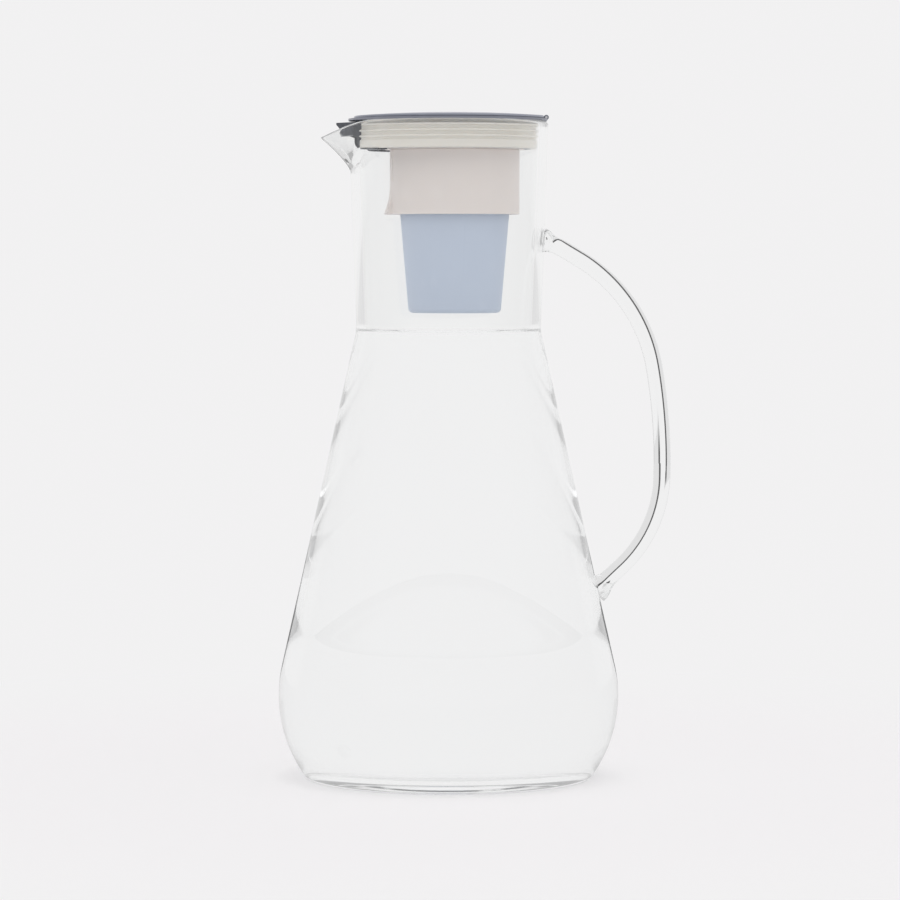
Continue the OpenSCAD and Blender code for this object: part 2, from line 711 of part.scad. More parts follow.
// Radial slots from near the axis out to a radius
module slot_star(z, reach, h) {
    for (i = [0 : slots - 1]) rotate([0, 0, i * 360 / slots])
        translate([slot_start, -slot_w / 2, z]) cube([reach - slot_start, slot_w, h]);
}

// Slotted cap on the head
module cartridge_cap() {
    color([0.78, 0.82, 0.88]) translate([filter_x, 0, 0]) difference() {
        translate([0, 0, cap_z]) cylinder(r = head_r, h = cap_t);
        slot_star(cap_z - over, head_r - slot_margin, cap_t + 2 * over);
    }
}

// Ring in the head's groove that holds the cartridge in the bore
module cartridge_o_ring() {
    color([0.3, 0.32, 0.36]) translate([filter_x, 0, head_z + head_h / 2])
        rotate_extrude() translate([bore_r - ring_clear - ring_d / 2, 0]) circle(d = ring_d);
}

// A filling of the cartridge from one height to another, tapered as the cup is
module bed(z1, z2) {
    translate([filter_x, 0, z1]) cylinder(r1 = bed_r(z1), r2 = bed_r(z2), h = z2 - z1);
}

module upper_screen() {
    color([0.95, 0.95, 0.93]) bed(top_screen_z, cap_z);
}

module carbon_bed() {
    color([0.12, 0.12, 0.13]) bed(carbon_z, top_screen_z);
}

module divider_felt() {
    color([0.95, 0.95, 0.93]) bed(felt_z, carbon_z);
}

module resin_bed() {
    color([0.72, 0.55, 0.3]) bed(resin_z, felt_z);
}

module lower_screen() {
    color([0.95, 0.95, 0.93]) bed(screen_z, resin_z);
}

glass_vessel();
glass_handle();
lid_collar();
spout_insert();
seal_ring();
fill_well();
well_seal();
flip_lid();
flip_lid_gasket();
hinge_pin();
filter_holder();
cartridge_shell();
cartridge_cap();
cartridge_o_ring();
upper_screen();
carbon_bed();
divider_felt();
resin_bed();
lower_screen();
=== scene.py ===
"""The looks of a glass filter carafe with a flip lid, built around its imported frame.

Sizes are millimetres in the frame's axes: +Z up the neck, -X to the spout, +X to the
handle. Every mesh is brought to metres once, when it is made.
"""

import logging
from dataclasses import dataclass
from enum import Enum

import bmesh
import bpy
import numpy as np
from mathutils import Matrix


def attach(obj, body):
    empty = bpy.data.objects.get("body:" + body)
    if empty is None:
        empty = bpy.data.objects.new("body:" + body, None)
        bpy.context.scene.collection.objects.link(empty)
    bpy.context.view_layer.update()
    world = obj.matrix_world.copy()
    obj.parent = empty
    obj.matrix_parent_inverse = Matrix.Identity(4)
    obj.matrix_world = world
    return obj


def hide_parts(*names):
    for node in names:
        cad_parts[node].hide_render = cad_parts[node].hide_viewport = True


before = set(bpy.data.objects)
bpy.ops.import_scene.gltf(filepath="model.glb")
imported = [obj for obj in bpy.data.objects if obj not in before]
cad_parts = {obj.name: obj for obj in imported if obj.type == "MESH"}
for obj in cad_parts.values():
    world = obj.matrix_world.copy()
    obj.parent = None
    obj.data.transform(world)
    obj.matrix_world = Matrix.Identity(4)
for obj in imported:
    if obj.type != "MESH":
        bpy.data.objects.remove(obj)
LOG = logging.getLogger("carafe")
MM = 0.001
FULL_TURN = 2 * np.pi

# Points closer than this, in metres, are one point.
TOUCH = 1e-6
# The backdrop's tone.
PALE = (0.885, 0.88, 0.885)
# The number of faces after which light stops, and the share of the backdrop's tone that glass and water then
# give off as a painted glow.
BOUNCES = 24
PAINTED_GLOW_LEVEL = 0.5
# The levels between which most of a noise lies.
NOISE_RANGE = (0.3, 0.7)
# The largest share of a side that a corner's arc takes.
SIDE_SHARE = 0.49


class Body(Enum):
    """The bodies of the frame that a piece can ride on."""

    CARAFE = "carafe"
    LID = "lid_assembly"
    DISC = "flip_disc"
    CARTRIDGE = "cartridge"


# Shapes


@dataclass
class Surface:
    """Points with the faces between them, and one material index for each face.

    Attributes:
        points: An array of shape (count, 3), in millimetres.
        quads: An array of shape (faces, 4) of point numbers.
        caps: Lists of point numbers, one for each flat end.
        index: The material index of each quad.
    """

    points: np.ndarray
    quads: np.ndarray
    caps: list[list[int]]
    index: np.ndarray

    @staticmethod
    def from_grid(grid: np.ndarray, closed_rows: bool, closed_columns: bool) -> "Surface":
        """Joins neighbouring points of a grid into quads.

        Args:
            grid: Points of shape (rows, columns, 3).
            closed_rows: True if the last row joins the first one.
            closed_columns: True if the last column joins the first one.

        Returns:
            The surface. Open columns of closed rows get a flat cap at each end.
        """
        rows, columns = grid.shape[:2]
        row = np.arange(rows if closed_rows else rows - 1)[:, None]
        column = np.arange(columns if closed_columns else columns - 1)[None, :]
        next_row = (row + 1) % rows
        next_column = (column + 1) % columns
        corners = (row * columns + column, row * columns + next_column,
                   next_row * columns + next_column, next_row * columns + column)
        quads = np.stack([c.ravel() for c in np.broadcast_arrays(*corners)], axis=1)
        caps = []
        if closed_rows and not closed_columns:
            first = np.arange(rows) * columns
            caps = [first.tolist(), (first + columns - 1).tolist()]
        return Surface(grid.reshape(-1, 3), quads, caps, np.zeros(len(quads), int))

    def joined(self, *others: "Surface") -> "Surface":
        """Puts several surfaces into one.

        Args:
            others: The surfaces to add.

        Returns:
            One surface with all points and faces.
        """
        parts = (self, *others)
        starts = np.cumsum([0] + [len(p.points) for p in parts[:-1]])
        caps = [[n + int(s) for n in cap] for p, s in zip(parts, starts) for cap in p.caps]
        return Surface(np.concatenate([p.points for p in parts]),
                       np.concatenate([p.quads + s for p, s in zip(parts, starts)]),
                       caps, np.concatenate([p.index for p in parts]))

    def to_object(self, name: str, sharp: float = 35.0) -> bpy.types.Object:
        """Makes a mesh object with welded points and outward faces.

        Args:
            name: The object's name.
            sharp: The angle in degrees past which an edge stays sharp.

        Returns:
            The new object, at the origin.
        """
        mesh = bpy.data.meshes.new(name)
        faces = self.quads.tolist() + self.caps
        mesh.from_pydata((self.points * MM).tolist(), [], faces)
        index = np.concatenate([self.index, np.zeros(len(self.caps), int)])
        mesh.polygons.foreach_set("material_index", index.astype(np.int32))
        weld(mesh)
        shade(mesh, sharp)
        piece = bpy.data.objects.new(name, mesh)
        bpy.context.scene.collection.objects.link(piece)
        return piece


def weld(mesh: bpy.types.Mesh) -> None:
    """Merges points that lie together and turns all faces outwards.

    Args:
        mesh: The mesh to change.
    """
    build = bmesh.new()
    build.from_mesh(mesh)
    bmesh.ops.remove_doubles(build, verts=build.verts, dist=TOUCH)
    bmesh.ops.recalc_face_normals(build, faces=build.faces)
    build.to_mesh(mesh)
    build.free()


def shade(mesh: bpy.types.Mesh, sharp: float) -> None:
    """Shades a mesh smooth, apart from edges past an angle in degrees."""
    mesh.polygons.foreach_set("use_smooth", np.ones(len(mesh.polygons), bool))
    mesh.set_sharp_from_angle(angle=np.radians(sharp))


def arc(x: float, z: float, r: float, start: float, end: float, count: int) -> np.ndarray:
    """Points on a circle, evenly spaced from one angle to another in degrees.

    Args:
        x: The centre's first coordinate.
        z: The centre's second coordinate.
        r: The radius.
        start: The first angle.
        end: The last angle.
        count: How many points.

    Returns:
        An array of shape (count, 2).
    """
    turn = np.radians(np.linspace(start, end, count))
    return np.column_stack([x + r * np.cos(turn), z + r * np.sin(turn)])


def line(a: tuple[float, float], b: tuple[float, float], count: int) -> np.ndarray:
    """Points evenly spaced from a to b, both ends included."""
    return np.linspace(np.array(a, float), np.array(b, float), count)


def rounded(corners: list[tuple[float, float]], radius: float, count: int = 5) -> np.ndarray:
    """A closed outline whose corners are arcs.

    Each arc turns from the side before its corner to the side after it, about a centre on
    the corner's bisector. All corners are worked out at once.

    Args:
        corners: The corners in order.
        radius: The radius of every arc, limited by the sides beside it.
        count: How many points each arc has.

    Returns:
        An array of shape (corners * count, 2).
    """
    here = np.array(corners, float)
    back = np.roll(here, 1, axis=0) - here
    ahead = np.roll(here, -1, axis=0) - here
    back_len = np.linalg.norm(back, axis=1)
    ahead_len = np.linalg.norm(ahead, axis=1)
    back /= back_len[:, None]
    ahead /= ahead_len[:, None]
    half = np.arccos(np.clip((back * ahead).sum(axis=1), -1, 1)) / 2
    run = np.minimum(radius / np.tan(half), SIDE_SHARE * np.minimum(back_len, ahead_len))
    bisector = back + ahead
    bisector /= np.linalg.norm(bisector, axis=1)[:, None]
    centre = here + bisector * (run / np.cos(half))[:, None]
    first = here + back * run[:, None] - centre
    last = here + ahead * run[:, None] - centre
    sweep = np.pi - 2 * half
    step = np.linspace(0, 1, count)[None, :]
    weight_a = np.sin((1 - step) * sweep[:, None]) / np.sin(sweep)[:, None]
    weight_b = np.sin(step * sweep[:, None]) / np.sin(sweep)[:, None]
    points = centre[:, None] + weight_a[..., None] * first[:, None] + weight_b[..., None] * last[:, None]
    return points.reshape(-1, 2)


def revolved(profile: np.ndarray, count: int, x: float = 0.0, gap: float = 0.0,
             loop: bool = True) -> Surface:
    """Turns a profile about an upright axis.

    A point (r, z) goes to (x - r cos t, r sin t, z), with t from 0 to a full turn. With a
    gap, t starts and ends where r sin t equals the gap, so the ring is open at the spout.

    Args:
        profile: Points (r, z).
        count: The number of columns.
        x: Where the axis stands.
        gap: Half the width of the opening.
        loop: True if the profile's last point joins its first one.

    Returns:
        The surface.
    """
    r = profile[:, :1]
    open_angle = np.arcsin(np.clip(gap / np.maximum(r, gap + 1e-9), 0, 1)) if gap else 0.0
    step = np.linspace(0, 1, count, endpoint=bool(gap))[None, :]
    turn = open_angle + step * (FULL_TURN - 2 * open_angle) + 0 * r
    grid = np.stack([x - r * np.cos(turn), r * np.sin(turn),
                     np.broadcast_to(profile[:, 1:], turn.shape)], axis=-1)
    return Surface.from_grid(grid, loop, not gap)


def barrel(r: float, bore: float, low: float, high: float, x: float, z: float,
           count: int = 48) -> Surface:
    """A short tube along Y with soft edges, turned from a rounded rectangle.

    Args:
        r: The outer radius.
        bore: The radius of its hole.
        low: Where it starts along Y.
        high: Where it ends along Y.
        x: The axis's X.
        z: The axis's Z.
        count: The number of faces around it.

    Returns:
        The surface.
    """
    soft = (r - bore) / 5
    profile = rounded([(bore, low), (r, low), (r, high), (bore, high)], soft)
    turn = np.linspace(0, FULL_TURN, count, endpoint=False)[None, :]
    radius = profile[:, :1]
    grid = np.stack([x + radius * np.cos(turn), np.broadcast_to(profile[:, 1:], (len(profile), count)),
                     z + radius * np.sin(turn)], axis=-1)
    return Surface.from_grid(grid, True, True)


def slab(low: tuple[float, float, float], high: tuple[float, float, float], soft: float) -> Surface:
    """A block with rounded upright edges: a rounded rectangle carried straight up.

    Args:
        low: The lowest corner.
        high: The highest corner.
        soft: The radius of the upright edges.

    Returns:
        The surface.
    """
    plan = rounded([(low[0], low[1]), (high[0], low[1]), (high[0], high[1]), (low[0], high[1])], soft)
    levels = np.array([low[2], high[2]])[None, :, None]
    grid = np.concatenate([np.broadcast_to(plan[:, None], (len(plan), 2, 2)),
                           np.broadcast_to(levels, (len(plan), 2, 1))], axis=-1)
    return Surface.from_grid(grid, True, False)


# Finishes


class Graph:
    """A small writer of shader nodes for one material, world or group."""

    def __init__(self, tree: bpy.types.NodeTree) -> None:
        """Starts from the nodes of a tree."""
        self.tree = tree

    def add(self, kind: str, **values: object) -> bpy.types.Node:
        """Adds a node of a Blender type and fills it with the values."""
        return self.fill(self.tree.nodes.new(kind), **values)

    def fill(self, node: bpy.types.Node, **values: object) -> bpy.types.Node:
        """Sets a node's properties and feeds its inputs.

        Args:
            node: The node.
            values: Properties by name, and inputs by name with spaces as underscores.

        Returns:
            The same node.
        """
        for name, value in values.items():
            if hasattr(node, name):
                setattr(node, name, value)
            else:
                self.feed(node.inputs[name.replace("_", " ")], value)
        return node

    def feed(self, socket: bpy.types.NodeSocket, value: object) -> None:
        """Links a socket to another one, or sets its plain value."""
        if isinstance(value, bpy.types.NodeSocket):
            self.tree.links.new(value, socket)
        else:
            socket.default_value = value

    def plug(self, node: bpy.types.Node, values: dict[int, object]) -> bpy.types.Node:
        """Feeds a node's inputs by their numbers, and gives the node back."""
        for place, value in values.items():
            self.feed(node.inputs[place], value)
        return node

    def noise(self, where: bpy.types.NodeSocket, scale: object,
              detail: float = 3.0) -> bpy.types.NodeSocket:
        """Fractal noise at a scale in waves a metre."""
        node = self.add("ShaderNodeTexNoise", Vector=where, Scale=scale, Detail=detail)
        return node.outputs["Fac"]

    def blend(self, amount: object, a: object, b: object) -> bpy.types.NodeSocket:
        """A colour between a and b."""
        node = self.add("ShaderNodeMix", data_type="RGBA")
        return self.plug(node, {0: amount, 6: a, 7: b}).outputs[2]

    def spread(self, value: object, low: float, high: float, to_low: float, to_high: float,
               smooth: bool = False) -> bpy.types.NodeSocket:
        """A value taken from one range to another.

        Args:
            value: The value or its socket.
            low: The start of its range.
            high: The end of its range.
            to_low: What low becomes.
            to_high: What high becomes.
            smooth: True for a soft start and end.

        Returns:
            The new value's socket.
        """
        node = self.add("ShaderNodeMapRange", interpolation_type="SMOOTHSTEP" if smooth else "LINEAR",
                        Value=value, From_Min=low, From_Max=high, To_Min=to_low, To_Max=to_high)
        return node.outputs["Result"]

    def maths(self, what: str, a: object, b: object) -> bpy.types.NodeSocket:
        """The result of one step of arithmetic on a and b."""
        node = self.add("ShaderNodeMath", operation=what)
        return self.plug(node, {0: a, 1: b}).outputs[0]

    def bump(self, height: object, strength: float, distance: float) -> bpy.types.NodeSocket:
        """A normal that follows a height in metres."""
        node = self.add("ShaderNodeBump", Strength=strength, Distance=distance, Height=height)
        return node.outputs["Normal"]


def new_group(name: str, inputs: dict[str, tuple[str, object]],
              outputs: dict[str, str]) -> tuple[bpy.types.NodeTree, Graph]:
    """Makes an empty shader group with named sockets.

    Args:
        name: The group's name.
        inputs: Socket type and default by input name.
        outputs: Socket type by output name.

    Returns:
        The group and a writer for its nodes.
    """
    tree = bpy.data.node_groups.new(name, "ShaderNodeTree")
    for label, (kind, default) in inputs.items():
        socket = tree.interface.new_socket(name=label, in_out="INPUT", socket_type="NodeSocket" + kind)
        socket.default_value = default
    for label, kind in outputs.items():
        tree.interface.new_socket(name=label, in_out="OUTPUT", socket_type="NodeSocket" + kind)
    return tree, Graph(tree)


@dataclass(frozen=True)
class MouldedSurface:
    """A moulded surface: cloudy colour, fine grain and faint rubbed spots.

    Attributes:
        clouds: Waves a metre of the clouds of colour.
        cloud_share: How far the clouds go towards the rubbed colour.
        spots: Waves a metre of the rubbed spots.
        spot_edge: The noise levels where a spot starts and is full.
        spot_share: How far a spot goes towards the rubbed colour.
        gloss: Waves a metre of the uneven roughness.
        gloss_range: What it takes from the roughness and adds to it.
    """

    clouds: float = 45.0
    cloud_share: float = 0.16
    spots: float = 160.0
    spot_edge: tuple[float, float] = (0.56, 0.72)
    spot_share: float = 0.35
    gloss: float = 90.0
    gloss_range: tuple[float, float] = (-0.05, 0.06)

    def group(self) -> bpy.types.NodeTree:
        """Builds the group.

        Returns:
            A group with the outputs Colour, Roughness and Height.
        """
        tree, graph = new_group(
            "moulded surface",
            {"Colour": ("Color", (0.5, 0.5, 0.5, 1)), "Rubbed": ("Color", (0.6, 0.6, 0.6, 1)),
             "Roughness": ("Float", 0.4), "Grain": ("Float", 3000.0)},
            {"Colour": "Color", "Roughness": "Float", "Height": "Float"})
        entry = graph.add("NodeGroupInput").outputs
        where = graph.add("ShaderNodeTexCoord").outputs["Object"]
        cloud = graph.noise(where, self.clouds, detail=2.0)
        cloud = graph.spread(cloud, *NOISE_RANGE, 0.0, self.cloud_share)
        grain = graph.noise(where, entry["Grain"], detail=2.0)
        spot = graph.noise(where, self.spots, detail=4.0)
        spot = graph.spread(spot, *self.spot_edge, 0.0, self.spot_share, True)
        tone = graph.blend(cloud, entry["Colour"], entry["Rubbed"])
        uneven = graph.spread(graph.noise(where, self.gloss), *NOISE_RANGE, *self.gloss_range)
        graph.add("NodeGroupOutput", Colour=graph.blend(spot, tone, entry["Rubbed"]),
                  Roughness=graph.maths("ADD", entry["Roughness"], uneven), Height=grain)
        return tree


@dataclass(frozen=True)
class Moulded:
    """A moulded plastic, rubber or silicone.

    Attributes:
        name: The material's name.
        colour: Its main colour.
        rubbed: The colour of its lighter clouds and rubbed spots.
        roughness: Its mean roughness.
        grain: Waves a metre of its fine grain.
        depth: Height of the grain in metres.
        relief: How strongly the grain shows.
        scatter: How much light spreads below the surface.
        scatter_run: How far red, green and blue light spread, in multiples of scatter_scale.
        scatter_scale: The unit of that spread in metres.
    """

    name: str
    colour: tuple[float, float, float]
    rubbed: tuple[float, float, float]
    roughness: float
    grain: float = 2600.0
    depth: float = 0.00002
    relief: float = 0.5
    scatter: float = 0.0
    scatter_run: tuple[float, float, float] = (0.9, 0.8, 0.7)
    scatter_scale: float = 0.002

    def material(self, group: bpy.types.NodeTree) -> bpy.types.Material:
        """Builds the material.

        Args:
            group: The group of a moulded surface.

        Returns:
            The material.
        """
        made, graph, shader = plain_material(self.name)
        surface = graph.add("ShaderNodeGroup", node_tree=group, Colour=(*self.colour, 1),
                            Rubbed=(*self.rubbed, 1), Roughness=self.roughness, Grain=self.grain).outputs
        graph.fill(shader, Base_Color=surface["Colour"], Roughness=surface["Roughness"],
                   Normal=graph.bump(surface["Height"], self.relief, self.depth))
        if self.scatter:
            graph.fill(shader, Subsurface_Weight=self.scatter, Subsurface_Radius=self.scatter_run,
                       Subsurface_Scale=self.scatter_scale)
        return made


@dataclass(frozen=True)
class Clear:
    """A clear solid or liquid, with faint waves in its surface.

    Light that hasn't found its way out after BOUNCES faces ends in a painted glow: the glass
    gives off the backdrop's tone there, so that no black spots stay where light runs round in the glass.

    Attributes:
        name: The material's name.
        tint: What one pass through a face leaves of the light.
        ior: The bend of light at its face.
        waves: Waves a metre in the surface.
        depth: Height of these waves in metres.
        dimming: What the waves' crests leave of the tint.
    """

    name: str
    tint: tuple[float, float, float]
    ior: float
    waves: float = 14.0
    depth: float = 0.0
    dimming: float = 0.992

    def material(self) -> bpy.types.Material:
        """Builds the material.

        Returns:
            The material.
        """
        made, graph, shader = plain_material(self.name)
        where = graph.add("ShaderNodeTexCoord").outputs["Object"]
        cloud = graph.noise(where, self.waves, detail=1.0)
        dim = (*(self.dimming * c for c in self.tint), 1)
        tone = graph.blend(cloud, (*self.tint, 1), dim)
        faces_met = graph.add("ShaderNodeLightPath").outputs["Ray Depth"]
        # Painted glow: at the last face that light may meet, the glass gives off the backdrop's tone.
        painted_glow_share = graph.maths("COMPARE", faces_met, BOUNCES)
        glow = graph.blend(painted_glow_share, (0.0, 0.0, 0.0, 1), (*PALE, 1))
        graph.fill(shader, Transmission_Weight=1.0, IOR=self.ior, Roughness=0.0, Base_Color=tone,
                   Emission_Color=glow, Emission_Strength=PAINTED_GLOW_LEVEL)
        made.cycles.emission_sampling = "NONE"
        if self.depth:
            graph.fill(shader, Normal=graph.bump(cloud, 1.0, self.depth))
        return made


@dataclass(frozen=True)
class Grains:
    """Loose grains or beads, drawn as cells with their own tones.

    Attributes:
        name: The material's name.
        light: The colour of the lightest cells.
        dark: The colour between the cells.
        size: Cells a metre.
        roughness: The roughness.
        depth: Height of the grains in metres.
        relief: How strongly that height shows.
    """

    name: str
    light: tuple[float, float, float]
    dark: tuple[float, float, float]
    size: float
    roughness: float
    depth: float = 0.0003
    relief: float = 0.8

    def material(self) -> bpy.types.Material:
        """Builds the material.

        Returns:
            The material.
        """
        made, graph, shader = plain_material(self.name)
        where = graph.add("ShaderNodeTexCoord").outputs["Object"]
        cells = graph.add("ShaderNodeTexVoronoi", Vector=where, Scale=self.size)
        rim = graph.spread(cells.outputs["Distance"], 0.1, 0.6, 1.0, 0.0, True)
        graph.fill(shader, Base_Color=graph.blend(rim, (*self.dark, 1), (*self.light, 1)),
                   Roughness=self.roughness, Normal=graph.bump(rim, self.relief, self.depth))
        return made


@dataclass(frozen=True)
class DrawnSteel:
    """Bright drawn wire, with fine lines along its length.

    Attributes:
        name: The material's name.
        dark: The colour between the lines.
        light: The colour of the lines.
        lines: Lines a metre across the wire.
        stretch: How many of them there are along it, as a share.
        roughness: The roughness between the lines and on them.
    """

    name: str = "pin steel"
    dark: tuple[float, float, float] = (0.5, 0.5, 0.52)
    light: tuple[float, float, float] = (0.7, 0.7, 0.72)
    lines: float = 9000.0
    stretch: float = 0.02
    roughness: tuple[float, float] = (0.2, 0.36)

    def material(self) -> bpy.types.Material:
        """Builds the material.

        Returns:
            The material.
        """
        made, graph, shader = plain_material(self.name)
        where = graph.add("ShaderNodeTexCoord").outputs["Object"]
        along = graph.add("ShaderNodeMapping", Vector=where, Scale=(1, self.stretch, 1))
        lines = graph.noise(along.outputs["Vector"], self.lines, detail=2.0)
        graph.fill(shader, Metallic=1.0, Base_Color=graph.blend(lines, (*self.dark, 1), (*self.light, 1)),
                   Roughness=graph.spread(lines, *NOISE_RANGE, *self.roughness))
        return made


def plain_material(name: str) -> tuple[bpy.types.Material, Graph, bpy.types.Node]:
    """Makes a material with one shader.

    Args:
        name: The material's name.

    Returns:
        The material, a writer for its nodes, and its shader.
    """
    made = bpy.data.materials.new(name)
    made.use_nodes = True
    graph = Graph(made.node_tree)
    return made, graph, made.node_tree.nodes["Principled BSDF"]


class Plastic(Enum):
    """The moulded finishes."""

    DISC = Moulded("slate disc", (0.29, 0.305, 0.36), (0.36, 0.375, 0.43), 0.32)
    COLLAR = Moulded("slate collar", (0.19, 0.2, 0.24), (0.25, 0.26, 0.31), 0.34)
    INSERT = Moulded("slate insert", (0.045, 0.05, 0.064), (0.08, 0.086, 0.105), 0.38)
    CREAM = Moulded("cream plastic", (0.78, 0.72, 0.69), (0.83, 0.775, 0.745), 0.45, scatter=0.15)
    SILICONE = Moulded("cream silicone", (0.76, 0.735, 0.685), (0.82, 0.79, 0.74), 0.5,
                       grain=1800.0, scatter=0.3)
    BLUE = Moulded("cartridge blue", (0.52, 0.59, 0.71), (0.58, 0.645, 0.76), 0.48)
    RUBBER = Moulded("ring rubber", (0.03, 0.03, 0.035), (0.07, 0.07, 0.08), 0.6)
    FELT = Moulded("filter felt", (0.78, 0.78, 0.75), (0.86, 0.86, 0.84), 0.9,
                   grain=1200.0, depth=0.0002)


class Finishes:
    """All finishes of the carafe, each built once."""

    GLASS_IOR = 1.47
    WATER_IOR = 1.333

    def __init__(self) -> None:
        """Builds the shared group and the materials."""
        group = MouldedSurface().group()
        self.plastics = {kind: kind.value.material(group) for kind in Plastic}
        self.carbon = Grains("carbon grains", (0.045, 0.045, 0.05), (0.01, 0.01, 0.01), 900.0,
                             0.7).material()
        self.resin = Grains("resin beads", (0.62, 0.38, 0.12), (0.3, 0.15, 0.04), 1300.0, 0.35).material()
        self.steel = DrawnSteel().material()
        self.glass = Clear("clear glass", (0.992, 0.997, 0.994), self.GLASS_IOR, depth=0.00006).material()
        self.wet_glass = Clear("wet glass", (0.999, 1.0, 1.0), self.GLASS_IOR / self.WATER_IOR).material()
        self.water = Clear("water top", (0.998, 0.999, 1.0), self.WATER_IOR, 60.0, 0.00002).material()
        self.water_side = Clear("water side", (0.999, 1.0, 1.0), 1.0).material()


def dress(piece: bpy.types.Object, body: Body, slot: str,
          *materials: bpy.types.Material) -> bpy.types.Object:
    """Gives a piece its materials and its body.

    Args:
        piece: The new piece.
        body: The body it rides on.
        slot: The record's material slot; not used.
        materials: The materials, in the order of the mesh's indices.

    Returns:
        The piece.
    """
    for material in materials:
        piece.data.materials.append(material)
    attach(piece, body.value)
    LOG.info("%s: %d points on %s", piece.name, len(piece.data.vertices), body.value)
    return piece


def repaint(node: str, material: bpy.types.Material) -> None:
    """Gives a carried-over node a new material.

    Args:
        node: The node's name.
        material: The material.
    """
    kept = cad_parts[node]
    kept.data.materials.clear()
    kept.data.materials.append(material)
    LOG.info("%s: repainted", node)


# Angles in degrees between two faces: below the first they are one flat face, from the second
# on their edge stays sharp, and from the third on it is softened.
FLAT_ANGLE = 0.5
SOFTENED_SHARP = 30.0
SOFTENED_FROM = 40.0


def softened(node: str, name: str, width: float, segments: int = 2) -> bpy.types.Object:
    """A copy of a node's mesh, merged and with soft edges, that stands for the node.

    Args:
        node: The node's name.
        name: The piece's name.
        width: The width of the edges in millimetres.
        segments: The faces across an edge.

    Returns:
        The new piece.
    """
    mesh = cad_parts[node].data.copy()
    mesh.materials.clear()
    build = bmesh.new()
    build.from_mesh(mesh)
    bmesh.ops.remove_doubles(build, verts=build.verts, dist=2 * TOUCH)
    bmesh.ops.dissolve_limit(build, angle_limit=np.radians(FLAT_ANGLE), verts=build.verts, edges=build.edges)
    build.to_mesh(mesh)
    build.free()
    for layer in list(mesh.uv_layers):
        mesh.uv_layers.remove(layer)
    shade(mesh, SOFTENED_SHARP)
    piece = bpy.data.objects.new(name, mesh)
    bpy.context.scene.collection.objects.link(piece)
    bevel = piece.modifiers.new("soft edges", "BEVEL")
    bevel.width = width * MM
    bevel.segments = segments
    bevel.limit_method = "ANGLE"
    bevel.angle_limit = np.radians(SOFTENED_FROM)
    bevel.harden_normals = True
    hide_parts(node)
    return piece


# The carafe


